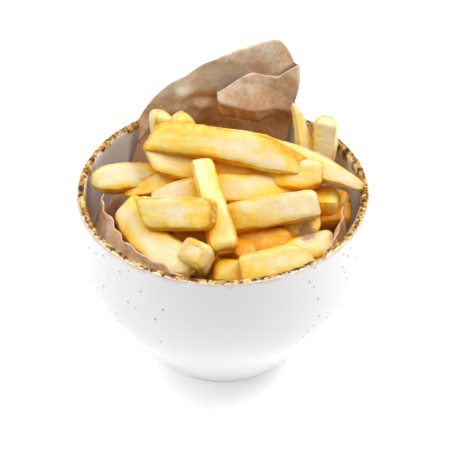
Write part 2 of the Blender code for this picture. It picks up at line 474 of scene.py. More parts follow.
def along_table(table: tuple, place: float) -> float:
    """The value that a table of places and values gives at a place between two of its rows."""
    places, values = zip(*table)
    return float(np.interp(place, places, values))


# ---- the bowl ----


@dataclass(frozen=True)
class GlazeFinish:
    """White glaze that breaks into brown and gold flecks over the rim, with stray specks down the wall."""

    white: Triple = (0.785, 0.785, 0.785)
    clay: Triple = (0.50, 0.42, 0.33)
    halo: Triple = (0.70, 0.50, 0.25)
    speck: Triple = (0.30, 0.15, 0.05)
    flecks: tuple = (
        (0.38, (0.07, 0.018, 0.002)),
        (0.46, (0.24, 0.085, 0.008)),
        (0.52, (0.48, 0.24, 0.03)),
        (0.60, (0.64, 0.42, 0.09)),
        (0.70, (0.84, 0.68, 0.36)),
    )
    rim_radius: float = 60.6
    top: float = 88.0
    bare_foot: Pair = (0.4, 0.9)
    roughness: float = 0.16
    gloss: float = 0.5
    fleck_scale: float = 520.0
    fleck_widths: Pair = (2.4, 8.0)
    fleck_outside: Pair = (-1.5, -0.9)
    torn: float = 5.0
    halo_drift: float = 9.0
    halo_outside: Pair = (-3.6, -2.2)
    halo_inside: float = 2.0
    line_edges: tuple[float, ...] = (-2.7, -2.3, -2.1, -1.7)
    speck_scale: float = 400.0
    speck_tilt: Triple = (0.0, 0.5, 0.3)
    speck_stretch: Triple = (1.0, 1.0, 0.55)
    speck_sizes: Pair = (0.10, 0.22)
    speck_sides: Pair = (20.0, 55.0)
    speck_top: Pair = (-4.0, -3.0)
    speck_share: Pair = (0.02, 0.60)
    ripple_scale: float = 45.0
    ripple_height: float = 0.5

    def material(self) -> bpy.types.Material:
        """Builds the glaze.

        Returns:
            The material, which reads the bowl's own coordinates.
        """
        made, wire, shader = new_material("bowl_glaze")
        place = wire.node("ShaderNodeTexCoord").outputs["Object"]
        x, y, z = wire.split(place)
        radius = wire.vector("LENGTH", wire.join(x, y, 0.0))
        inward = wire.less(self.rim_radius * MM, radius)
        depth = wire.less(self.top * MM, z)
        across = wire.total(inward, wire.product(depth, wire.math("SIGN", inward)))
        fleck, soft = self.band(wire, place, across)
        grain = wire.noise(place, self.fleck_scale, 3.0, 0.6, 0.8)
        mixed = wire.total(grain, wire.product(wire.grain(place, 150.0), 0.60))
        foot = wire.step(z, self.bare_foot[0] * MM, self.bare_foot[1] * MM, 1.0, 0.0)
        colour = wire.blend(soft, self.white, self.halo)
        colour = wire.blend(fleck, colour, wire.ramp(mixed, list(self.flecks)))
        colour = wire.blend(self.specks(wire, place, across, x), colour, self.speck)
        colour = wire.blend(foot, colour, self.clay)
        wire.plug(shader.inputs["Base Color"], colour)
        rough = wire.total(self.roughness, wire.product(fleck, 0.22), wire.product(foot, 0.5))
        wire.plug(shader.inputs["Roughness"], rough)
        shader.inputs["Specular IOR Level"].default_value = self.gloss
        wave = wire.product(wire.noise(place, self.ripple_scale, 1.0), 0.6)
        ripple = wire.total(wave, wire.product(grain, fleck, 0.10))
        wire.plug(shader.inputs["Normal"], wire.bump(ripple, 0.25, self.ripple_height * MM))
        return made

    def band(self, wire: Wiring, place: Socket, across: Socket) -> tuple[Socket, Socket]:
        """The brown edge.

        Args:
            wire: the material's wiring.
            place: the coordinates.
            across: the way over the lip from its crest, positive down the inside, in metres.

        Returns:
            How much fleck and how much soft halo there is.
        """
        narrow, broad = (width * MM for width in self.fleck_widths)
        wide = wire.step(wire.noise(place, 70.0, 2.0, 0.6), 0.44, 0.62, narrow, broad)
        reach = wire.total(across, wire.product(wire.grain(place, 480.0, 3.0, 0.65), self.torn * MM))
        inner = wire.step(reach, wire.less(wide, 0.7 * MM), wide, 1.0, 0.0)
        outer = wire.step(reach, *(edge * MM for edge in self.fleck_outside))
        broken = wire.step(wire.noise(place, 300.0), 0.24, 0.32)
        soft = wire.total(across, wire.product(wire.grain(place, 210.0), self.halo_drift * MM))
        inside = wire.step(soft, wide, wire.total(wide, self.halo_inside * MM), 1.0, 0.0)
        halo = wire.product(inside, wire.step(soft, *(edge * MM for edge in self.halo_outside)))
        first, full, fading, last = (edge * MM for edge in self.line_edges)
        line = wire.product(wire.step(across, first, full), wire.step(across, fading, last, 1.0, 0.0))
        stained = wire.total(wire.product(halo, 0.40), wire.product(line, 0.60))
        return wire.product(inner, outer, broken), wire.math("MINIMUM", stained, 0.9)

    def specks(self, wire: Wiring, place: Socket, across: Socket, x: Socket) -> Socket:
        """Small stray flecks down the outside, more of them towards the two sides.

        Args:
            wire: the material's wiring.
            place: the coordinates.
            across: the way over the lip, negative down the outside.
            x: the coordinate to the right.

        Returns:
            How much speck there is.
        """
        plugs = {"Vector": place, "Rotation": self.speck_tilt, "Scale": self.speck_stretch}
        turned = wire.node("ShaderNodeMapping", plugs).outputs[0]
        cells = wire.node("ShaderNodeTexVoronoi", {"Vector": turned, "Scale": self.speck_scale})
        dot = wire.step(cells.outputs["Distance"], *self.speck_sizes, 1.0, 0.0)
        chance = wire.split(cells.outputs["Color"])[0]
        side = wire.step(wire.math("ABSOLUTE", x), *(edge * MM for edge in self.speck_sides))
        patch = wire.step(wire.noise(place, 38.0), 0.36, 0.52)
        fewest, more = self.speck_share
        kept = wire.math("GREATER_THAN", chance, wire.less(1 - fewest, wire.product(side, patch, more)))
        below = wire.step(across, *(edge * MM for edge in self.speck_top), 1.0, 0.0)
        return wire.product(dot, kept, below, 0.85)


@dataclass(frozen=True)
class Bowl:
    """A turned bowl: a foot ring, a wall that flares and then stands upright, and a round lip."""

    rim_radius: float = 62.5
    height: float = 88.0
    wall: float = 3.8
    flare_radius: float = 34.0
    flare_handle: Pair = (58.0, 39.0)
    shoulder_handle: Pair = (66.0, 42.0)
    foot_radius: float = 30.5
    foot_inner_radius: float = 27.0
    foot_height: float = 2.2
    foot_round: float = 0.4
    recess: float = 1.4
    floor_height: float = 8.0
    floor_radius: float = 16.0
    fillet_top: float = 22.0
    segments: int = 216
    wall_points: int = 34
    lip_points: int = 15
    fillet_points: int = 12
    exact_points: int = 240
    rough_points: int = 24
    fillet_run: float = 12.0
    wobble: float = 0.30
    wobble_start: float = 55.0
    merge: float = 0.01

    def curve(self, corners: tuple[Pair, Pair, Pair, Pair], count: int) -> list[Pair]:
        """One cubic curve in the plane of radius and height.

        Args:
            corners: its start, its two handles and its end.
            count: how many points to read from it.

        Returns:
            The radius and height of each point.
        """
        placed = [Vector((radius, 0, height)) for radius, height in corners]
        return [(point.x, point.z) for point in interpolate_bezier(*placed, count)]

    def outside(self, count: int) -> list[Pair]:
        """The outer wall, from the flare above the foot to the lip.

        Args:
            count: how many points it has.

        Returns:
            The radius and height of each, from the bottom up.
        """
        top = (self.rim_radius, self.height - self.wall / 2)
        start = (self.flare_radius, self.foot_height)
        return self.curve((start, self.flare_handle, self.shoulder_handle, top), count)

    def inside(self, count: int) -> list[Pair]:
        """The inner wall above the fillet: the outer one, moved in by the wall's thickness.

        Args:
            count: how many points it has.

        Returns:
            The radius and height of each, from the bottom up.
        """
        fine = np.array(self.outside(self.exact_points))
        along = np.gradient(fine, axis=0)
        along /= np.linalg.norm(along, axis=1)[:, None]
        moved = fine + self.wall * np.column_stack([-along[:, 1], along[:, 0]])
        heights = np.linspace(self.fillet_top, self.height - self.wall / 2, count)
        return list(zip(np.interp(heights, moved[:, 1], moved[:, 0]), heights))

    def fillet(self, count: int) -> list[Pair]:
        """The round corner from the flat floor up to the inner wall.

        Args:
            count: how many points it has.

        Returns:
            The radius and height of each, from the floor up.
        """
        (radius, height), (next_radius, next_height) = self.inside(9)[:2]
        handle = (radius - 0.9 * (next_radius - radius), height - 0.9 * (next_height - height))
        start = (self.floor_radius, self.floor_height)
        flat = (start[0] + self.fillet_run, start[1])
        return self.curve((start, flat, handle, (radius, height)), count)

    def lip(self, count: int) -> list[Pair]:
        """The round top of the wall, from its inner side over to its outer side.

        Args:
            count: how many points it has.

        Returns:
            The radius and height of each.
        """
        half = self.wall / 2
        middle, crest = self.rim_radius - half, self.height - half
        turns = [math.pi * (1 - step / (count + 1)) for step in range(1, count + 1)]
        return [(middle + half * math.cos(turn), crest + half * math.sin(turn)) for turn in turns]

    def inner_profile(self, count: int) -> list[Pair]:
        """Radius and height from the middle of the floor up the inside to the lip."""
        return [(0.0, self.floor_height)] + self.fillet(self.fillet_points) + self.inside(count)[1:]

    def inner_radius(self, height: float) -> float:
        """How far the inside is from the axis.

        Args:
            height: how far up from the table. Past the rim the wall counts as upright.

        Returns:
            The distance.
        """
        profile = self.inner_profile(self.rough_points)[1:]
        profile.append((self.rim_radius - self.wall, self.height * 2))
        return along_table(tuple((point[1], point[0]) for point in profile), height)

    def foot(self) -> list[Pair]:
        """The foot ring, with its rounded outer edge, and the shallow recess under the bowl.

        Returns:
            The radius and height of each point, from the neck to the axis.
        """
        radius, inner, soft = self.foot_radius, self.foot_inner_radius, self.foot_round
        turns = [math.radians(angle) for angle in range(0, 91, 30)]
        edge = [(radius - soft + soft * math.cos(turn), soft - soft * math.sin(turn)) for turn in turns]
        neck = [(radius + 0.5, self.foot_height - 0.15), (radius, self.foot_height - 0.5)]
        ring = [(inner + 0.3, 0.0), (inner, 0.15), (inner - 0.8, self.recess), (inner / 2, self.recess)]
        return neck + edge + ring + [(0.0, self.recess)]

    def tree(self) -> bpy.types.NodeTree:
        """The tree that turns a profile round the axis, with a rim as uneven as one shaped by hand.

        Returns:
            The tree. It reads the profile's points as radius along X and height along Z.
        """
        inputs = {
            "Profile": ("Geometry", None),
            "Points": ("Int", 40),
            "Segments": ("Int", 96),
            "Wobble": ("Float", 0.0),
            "Wobble Start": ("Float", 0.04),
            "Wobble End": ("Float", 0.08),
            "Finish": ("Material", None),
        }
        tree, wire, entry = new_shape_tree("turned_body", inputs)
        columns = wire.math("ADD", entry["Segments"], 1.0)
        grid = wire.node("GeometryNodeMeshGrid", {"Vertices X": columns, "Vertices Y": entry["Points"]})
        here = wire.node("GeometryNodeInputPosition").outputs[0]
        u, v, _ = wire.split(here)
        row = wire.math("ROUND", wire.product(wire.total(v, 0.5), wire.less(entry["Points"], 1.0)))
        plugs = {"Geometry": entry["Profile"], "Index": row, "Value": here}
        sample = wire.node("GeometryNodeSampleIndex", plugs, data_type="FLOAT_VECTOR", domain="POINT")
        radius, _, height = wire.split(sample.outputs[0])
        turn = wire.product(wire.total(u, 0.5), math.tau)
        way = wire.join(wire.math("COSINE", turn), wire.math("SINE", turn), 0.0)
        weight = wire.step(height, entry["Wobble Start"], entry["Wobble End"])
        amount = wire.product(weight, entry["Wobble"], 2.0)
        shift = wire.drift(wire.vector("ADD", way, (4.0, 1.0, 2.0)), 2.2)
        _, swell, lift = wire.split(wire.scaled(shift, amount))
        flat = wire.scaled(way, wire.total(radius, swell))
        place = wire.vector("ADD", flat, wire.join(0.0, 0.0, wire.total(height, lift)))
        plugs = {"Geometry": grid.outputs[0], "Position": place}
        moved = wire.node("GeometryNodeSetPosition", plugs).outputs[0]
        plugs = {"Geometry": moved, "Distance": self.merge * MM}
        sealed = wire.node("GeometryNodeMergeByDistance", plugs).outputs[0]
        outward = wire.node("GeometryNodeFlipFaces", {"Mesh": sealed}).outputs[0]
        end_tree(wire, outward, entry["Finish"])
        return tree

    def build(self, finish: GlazeFinish) -> bpy.types.Object:
        """Makes the bowl in place of its plain solid.

        Args:
            finish: the glaze.

        Returns:
            The bowl.
        """
        outer = list(reversed(self.outside(self.wall_points)))
        profile = self.inner_profile(self.wall_points) + self.lip(self.lip_points) + outer + self.foot()
        line = bpy.data.meshes.new("bowl_profile")
        line.from_pydata([(radius * MM, 0.0, height * MM) for radius, height in profile], [], [])
        values = {
            "Points": len(profile),
            "Segments": self.segments,
            "Wobble": self.wobble * MM,
            "Wobble Start": self.wobble_start * MM,
            "Wobble End": self.height * MM,
            "Finish": finish.material(),
        }
        bowl = settled(shaped_by("glazed_bowl", self.tree(), values, line))
        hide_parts("bowl")
        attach(bowl, ROOT)
        return bowl


# ---- the paper ----


@dataclass(frozen=True)
class PaperFinish:
    """Brown kitchen paper: cloudy pale patches, short fibres, pale and dark lines along its creases that
    are partly wear and partly painted highlight and shade, and painted shade under the flap's fold.
    """

    brown: Triple = (0.80, 0.51, 0.31)
    pale: Triple = (0.92, 0.81, 0.67)
    dark: Triple = (0.54, 0.25, 0.085)
    roughness: float = 0.62
    gloss: float = 0.35
    cloud_scale: float = 80.0
    cloud_top: Pair = (84.0, 122.0)
    cloud_left: Pair = (-25.0, 26.0)
    stain_scale: float = 95.0
    stain_top: Pair = (84.0, 112.0)
    fibre_scale: float = 1500.0
    fibre_stretch: Triple = (1.0, 1.0, 0.35)
    fibre_shades: Pair = (0.86, 1.10)
    tooth_scale: float = 240.0
    tooth_height: float = 0.4

    def material(self) -> bpy.types.Material:
        """Builds the paper's finish, which gets darker and warmer where the heap has stained it.

        Returns:
            The material. It reads the sheet's own coordinates, an attribute that marks its creases, and one
            that marks the flap, which it darkens as painted shade, most in the band under the fold.
        """
        made, wire, shader = new_material("paper")
        place = wire.node("ShaderNodeTexCoord").outputs["Object"]
        x, _, z = wire.split(place)
        high = wire.step(z, *(edge * MM for edge in self.cloud_top))
        left = wire.step(x, *(edge * MM for edge in self.cloud_left), 1.0, 0.0)
        cloud = wire.noise(place, self.cloud_scale, 5.0, 0.68, 0.4)
        lift = wire.total(cloud, wire.product(high, 0.10), wire.product(left, high, 0.10))
        colour = wire.blend(wire.step(lift, 0.46, 0.72), self.brown, self.pale)
        stain = wire.step(wire.noise(place, self.stain_scale, 3.0, 0.6), 0.50, 0.66)
        low = wire.step(z, *(edge * MM for edge in self.stain_top), 1.0, 0.15)
        colour = wire.blend(wire.product(stain, low, 0.75), colour, self.dark)
        # Painted shade in the band under the flap's fold; the rest of the flap is darkened a quarter as
        # much.
        colour = wire.blend(wire.product(wire.attribute("tucked"), 0.95), colour, self.dark)
        # Lines along the creases, paler where a crease stands forward and darker where it goes back: partly
        # worn creases, partly painted highlight and shade.
        crease = wire.attribute("crease")
        colour = wire.blend(wire.product(wire.math("MAXIMUM", crease, 0.0), 0.45), colour, self.pale)
        colour = wire.blend(wire.product(wire.math("MINIMUM", crease, 0.0), -0.45), colour, self.dark)
        fibre = wire.noise(wire.stretched(place, self.fibre_stretch), self.fibre_scale, 3.0, 0.7)
        shade = wire.step(fibre, 0.3, 0.7, *self.fibre_shades)
        colour = wire.blend(1.0, colour, wire.join(shade, shade, shade), "MULTIPLY")
        wire.plug(shader.inputs["Base Color"], colour)
        wire.plug(shader.inputs["Roughness"], wire.total(self.roughness, wire.product(stain, -0.16)))
        shader.inputs["Specular IOR Level"].default_value = self.gloss
        tooth = wire.product(wire.noise(place, self.tooth_scale), 0.5)
        height = wire.total(wire.product(fibre, 0.12), tooth)
        wire.plug(shader.inputs["Normal"], wire.bump(height, 0.35, self.tooth_height * MM))
        return made


@dataclass(frozen=True)
class PaperLiner:
    """One crumpled sheet: a cup pressed into the bowl, a tall back, low edges and a flap folded forward."""

    bowl: Bowl
    thickness: float = 0.35
    gap: float = 1.0
    column_step: float = 1.5
    cup_top: float = 58.0
    cup_rings: int = 16
    sheet_columns: Pair = (60.0, 138.0)
    sheet_rows: int = 44
    sheet_outline: tuple = (
        (32, 47, 118),
        (28, 48, 127),
        (22, 49, 130),
        (8, 50, 125),
        (-11, 50, 116),
        (-32, 46, 101),
        (-38, 42, 92),
    )
    edge_columns: Pair = (171.0, 351.0)
    edge_rows: int = 22
    edge_leans: tuple = (
        (171, 6),
        (190, 6),
        (205, 5.5),
        (228, 5.5),
        (254, 4.5),
        (275, 3),
        (300, 1),
        (312, 1),
        (324, 4.5),
        (351, 5.5),
    )
    edge_bulges: tuple = (
        (171, 0.5),
        (190, 1.5),
        (235, 2.5),
        (255, 2),
        (300, 1),
        (320, 4),
        (340, 5),
        (351, 2),
    )
    edge_tops: tuple = (
        (171, 83),
        (190, 83),
        (200, 84),
        (215, 84.5),
        (228, 84),
        (240, 83.5),
        (254, 81.5),
        (275, 79.5),
        (312, 79),
        (330, 81),
        (346, 85),
        (351, 83),
    )
    pleat: float = 1.8
    pleat_pace: float = 0.11
    wave_pace: float = 0.07
    flap_from: int = 19
    flap_steps: int = 60
    flap_fold: float = 2.6
    flap_tuck: float = 1.6
    flap_outline: tuple = (
        (33, 46, 119),
        (27, 46, 115),
        (23, 45.5, 113),
        (18, 44.5, 114),
        (14, 43, 116),
        (9.6, 42, 115.5),
        (5, 42.5, 112),
        (1, 43, 108.5),
        (-1.5, 44, 106),
        (-2.5, 46.3, 104.5),
    )
    flap_crease: tuple = (
        (-2.5, 102),
        (0, 102.5),
        (3.6, 101.5),
        (8, 100.7),
        (17.6, 98),
        (29.4, 94.6),
        (33, 93),
    )
    flap_low: tuple = (
        (-2.5, 95),
        (1, 94.6),
        (6, 95),
        (12, 94),
        (15.4, 92),
        (23, 93),
        (29.4, 92),
        (33, 88),
    )
    creases: tuple = (
        ((-16, 110), (-17, 103), 2.2, 4.5),
        ((-17, 103), (-20, 94), 2.2, 4.5),
        ((-13, 99), (-1, 98), -2.0, 4.0),
        ((-19, 113), (-4, 120), 1.4, 3.0),
        ((-8, 96), (-13, 87), 1.8, 3.5),
        ((-38, 82), (-31, 89), 1.6, 3.0),
        ((27, 130), (31, 121), 1.2, 2.5),
        ((31, 121), (24, 112), 1.2, 2.5),
        ((4, 88), (10, 91.5), 1.2, 3.0),
        ((10, 91.5), (16, 87), 1.2, 3.0),
        ((19, 85), (27, 90), -1.4, 3.5),
    )
    crease_line: float = 1.3
    crease_zone: Pair = (25.0, 78.0)
    free_from: float = 50.0
    free_over: float = 40.0
    held_within: float = 3.0
    held_room: Pair = (0.35, 1.85)
    folds: tuple[Pair, ...] = ((30.0, 3.6), (14.0, 1.8), (7.0, 0.4))

    def wall_point(self, column: float, height: float, lean: float = 0.0) -> Triple:
        """A point of the paper against the wall.

        Args:
            column: where it is round the bowl, in degrees from +X.
            height: how high it is.
            lean: how far it leans in from the wall.

        Returns:
            The point.
        """
        radius = self.bowl.inner_radius(height) - self.gap - lean
        turn = math.radians(column)
        return (radius * math.cos(turn), radius * math.sin(turn), height)

    def columns(self, span: Pair) -> list[float]:
        """The columns of a patch, in degrees from +X."""
        count = int(round((span[1] - span[0]) / self.column_step))
        return [span[0] + step * self.column_step for step in range(count + 1)]

    def cup(self) -> tuple[dict, list]:
        """The closed part, from the middle of the floor up to where the free edges start.

        Returns:
            The points by key, and the faces as lists of keys.
        """
        floor = self.bowl.floor_height + self.gap
        points: dict = {("floor", 0): (0.0, 0.0, floor)}
        rise = self.cup_top - floor
        heights = [floor + rise * (ring / self.cup_rings) ** 1.3 for ring in range(1, self.cup_rings + 1)]
        columns = self.columns((0.0, 360.0 - self.column_step))
        for column in columns:
            turn, radius = math.radians(column), self.bowl.floor_radius
            points[column, 0] = (radius * math.cos(turn), radius * math.sin(turn), floor)
            for ring, height in enumerate(heights, 1):
                points[column, ring] = self.wall_point(column, height)
        faces = []
        for number, column in enumerate(columns):
            after = columns[(number + 1) % len(columns)]
            faces.append([("floor", 0), (column, 0), (after, 0)])
            for ring in range(self.cup_rings):
                faces.append([(column, ring), (after, ring), (after, ring + 1), (column, ring + 1)])
        return points, faces

    def strip(self, keys: list[list]) -> list:
        """Four-sided faces between neighbouring columns of keys.

        Args:
            keys: the keys of each column's points, from the bottom up.

        Returns:
            The faces as lists of keys.
        """
        faces = []
        for left, right in zip(keys, keys[1:]):
            for row in range(len(left) - 1):
                faces.append([left[row], right[row], right[row + 1], left[row + 1]])
        return faces

    def rising(self, kind: str, column: float, rows: int) -> list:
        """The keys of a column that starts at the cup's top ring and goes on upwards."""
        return [(column, self.cup_rings)] + [(kind, column, row) for row in range(1, rows + 1)]

    def sheet(self) -> tuple[dict, list, list]:
        """The tall back: it follows the wall up to the rim, then stands almost flat.

        Returns:
            The points by key, the faces, and the keys up its right edge.
        """
        columns = self.columns(self.sheet_columns)
        points, keys = {}, []
        for column, top in zip(columns, smooth_path(self.sheet_outline, len(columns))):
            keys.append(self.rising("sheet", column, self.sheet_rows))
            for row in range(1, self.sheet_rows + 1):
                rise = row / self.sheet_rows
                height = self.cup_top + (top[2] - self.cup_top) * rise
                wall = self.wall_point(column, min(height, self.bowl.height - 4))
                free = min(1.0, rise * 1.5) ** 2
                x, y = (wall[axis] + (top[axis] - wall[axis]) * free for axis in (0, 1))
                points["sheet", column, row] = (x, y, height)
        return points, self.strip(keys), keys[0]

    def edge(self) -> tuple[dict, list]:
        """The low free edge round the left, the front and the right, which leans in and is gently waved.

        Returns:
            The points by key, and the faces.
        """
        points, keys = {}, []
        for column in self.columns(self.edge_columns):
            lean = along_table(self.edge_leans, column)
            bulge = along_table(self.edge_bulges, column)
            top = along_table(self.edge_tops, column)
            top += noise.noise(Vector((column * self.wave_pace, 3.0, 0.0)))
            keys.append(self.rising("edge", column, self.edge_rows))
            for row in range(1, self.edge_rows + 1):
                rise = row / self.edge_rows
                height = self.cup_top + (top - self.cup_top) * rise
                wave = noise.noise(Vector((column * self.pleat_pace, 0.0, rise * 1.6)))
                pleat = self.pleat * rise * abs(wave) * 2
                swell = bulge * math.sin(math.pi * rise)
                points["edge", column, row] = self.wall_point(column, height, lean * rise + swell + pleat)
        return points, self.strip(keys)

    def flap(self, fold: list, back: dict) -> tuple[dict, list]:
        """The flap, a pocket that is open at the top.

        Args:
            fold: the keys up the right edge of the tall back, which the flap turns round.
            back: the points of the tall back.

        Returns:
            The points by key, and the faces.
        """
        rows = len(fold) - self.flap_from
        under = rows // 3
        keys = [fold[self.flap_from :]]
        points = {}
        for step, (x, y, top) in enumerate(smooth_path(self.flap_outline, self.flap_steps)):
            keys.append([("flap", step, row) for row in range(rows)])
            crease = along_table(self.flap_crease, x)
            low = along_table(self.flap_low, x)
            touch = min(back.values(), key=lambda point: math.hypot(point[0] - x, point[2] - low))[1] - 0.5
            front = y - self.flap_fold * ease((x + 3) / 3) * (1 - 0.6 * ease((x - 14) / 10))
            points["flap", step, 0] = (x, touch, low - 0.5)
            for row in range(1, rows):
                if row < under:
                    share = (row - 1) / (under - 1)
                    tuck = self.flap_tuck * (1 - share)
                    place = (x, min(front + tuck, touch), low + (crease - low) * share)
                else:
                    share = (row - under) / (rows - 1 - under)
                    place = (x, front + (y - front) * share, crease + (top - crease) * share)
                points["flap", step, row] = place
        return points, self.strip(keys)

    def creased(self, place: Vector) -> Pair:
        """What the named creases do to the tall back.

        Args:
            place: a point of it, in millimetres.

        Returns:
            How far they press it forward there, and how near the line of a crease is: 1 on the line of one
            that stands forward, -1 on the line of one that goes back.
        """
        moved, mark = 0.0, 0.0
        for start, end, depth, width in self.creases:
            first, way = Vector(start), Vector(end) - Vector(start)
            share = (Vector((place.x, place.z)) - first).dot(way) / way.length_squared
            nearest = first + way * min(1.0, max(0.0, share))
            far = (Vector((place.x, place.z)) - nearest).length
            moved += depth * max(0.0, 1 - far / width)
            mark += math.copysign(max(0.0, 1 - far / self.crease_line), depth)
        return moved, mark

    def crumple(self, mesh: bpy.types.Mesh) -> None:
        """Presses creases into the sheet, deeper towards its free edges.

        Args:
            mesh: the sheet, with no thickness yet. It also gets an attribute that marks the creases, which
                the finish turns into lines that are partly wear and partly painted highlight and shade.
        """
        marks = mesh.attributes.new("crease", "FLOAT", "POINT")
        moved = []
        for vertex in mesh.vertices:
            place = vertex.co / MM
            inside = self.bowl.inner_radius(place.z) - math.hypot(place.x, place.y)
            free = ease((place.z - self.free_from) / self.free_over)
            least, most = self.held_room
            room = least + (most - least) * ease((place.z - self.bowl.height) / 8)
            ridge, relief = 0.0, 0.0
            for size, depth in self.folds:
                fold = abs(noise.noise(place / size + Vector((size, 1.7, 4.2))))
                relief += depth * (fold - 0.25)
                ridge = max(ridge, (1 - min(1.0, fold / 0.05)) * min(1.0, depth))
            relief *= free
            if inside <= self.held_within and place.z <= self.bowl.height:
                relief = max(-room, min(room, relief))
            shift = vertex.normal * relief
            # The fold lines are marked for the finish, which paints them paler: partly worn creases, partly
            # painted highlight.
            ridge *= 0.3 + 0.7 * free
            if place.y > self.crease_zone[0] and place.z > self.crease_zone[1]:
                press, mark = self.creased(place)
                shift.y -= press
                ridge += mark
            moved.append(shift * MM)
            marks.data[vertex.index].value = max(-1.0, min(1.0, ridge))
        for vertex, shift in zip(mesh.vertices, moved):
            vertex.co += shift

    def build(self, finish: PaperFinish) -> bpy.types.Object:
        """Makes the paper in place of its plain solid.

        Args:
            finish: the paper's finish.

        Returns:
            The paper.
        """
        points, faces = self.cup()
        sheet_points, sheet_faces, fold = self.sheet()
        flap = self.flap(fold, sheet_points)
        for more_points, more_faces in ((sheet_points, sheet_faces), self.edge(), flap):
            points.update(more_points)
            faces += more_faces
        index = {key: number for number, key in enumerate(points)}
        numbered = [[index[key] for key in face] for face in faces]
        paper = mesh_piece("brown_paper", list(points.values()), numbered, finish.material())
        # The flap carries painted shade: the band under its fold fully, the rest a quarter as much.
        tucked = paper.data.attributes.new("tucked", "FLOAT", "POINT")
        under = (self.sheet_rows + 1 - self.flap_from) // 3
        for key, number in index.items():
            folded = 1.0 if key[0] == "flap" and key[2] < under else 0.25
            tucked.data[number].value = folded * float(key[0] == "flap")
        self.crumple(paper.data)
        thick = paper.modifiers.new("thickness", "SOLIDIFY")
        thick.thickness = self.thickness * MM
        thick.offset = 0.0
        settled(paper)
        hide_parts("paper_liner")
        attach(paper, ROOT)
        return paper


# ---- the fries ----


class Tone(Enum):
    """How far a fry has coloured in the oil. The amber tone of the fries that lie low in shade also paints
    that shade.
    """

    PALE = -0.3
    CREAM = 0.0
    YELLOW = 0.36
    GOLDEN = 0.68
    AMBER = 0.9


@dataclass(frozen=True)
class Cut:
    """One end of a fry.

    Its share is what is left of the width and the depth there, over its reach along the fry. Its lean says
    which side stays straight, and its slant how the end is cut.
    """

    share: Pair = (0.92, 0.9)
    reach: float = 0.3
    lean: Pair = (0.0, 0.0)
    slant: Pair = (0.0, 0.0)


SQUARE = Cut()
ROUND = Cut(share=(0.72, 0.62), reach=0.16)


@dataclass(frozen=True)
class Fry:
    """A fry from its start to its end, in millimetres."""

    name: str
    start: Triple
    end: Triple
    width: float = 12.0
    depth: float = 11.0
    first: Cut = SQUARE
    last: Cut = SQUARE
    bow: Triple = (0.0, 0.0, 0.0)
    roll: float = 0.0
    flare: float = 0.0
    nose: float = 3.2
    crust: float = 0.3
    tone: Tone = Tone.YELLOW

    def turned(self) -> Matrix:
        """The turn from a fry that lies along X to this one.

        Returns:
            The turn, with the fry's roll about its own length.
        """
        along = (Vector(self.end) - Vector(self.start)).normalized()
        across = Vector((0, 0, 1)).cross(along).normalized()
        frame_of = Matrix((along, across, along.cross(across))).transposed().to_4x4()
        return frame_of @ Matrix.Rotation(math.radians(self.roll), 4, "X")

    def place(self) -> Matrix:
        """Where its middle goes, with its turn."""
        middle = (Vector(self.start) + Vector(self.end)) / 2
        return Matrix.Translation(middle * MM) @ self.turned()

    def length(self) -> float:
        """How long it is from end to end."""
        return (Vector(self.end) - Vector(self.start)).length
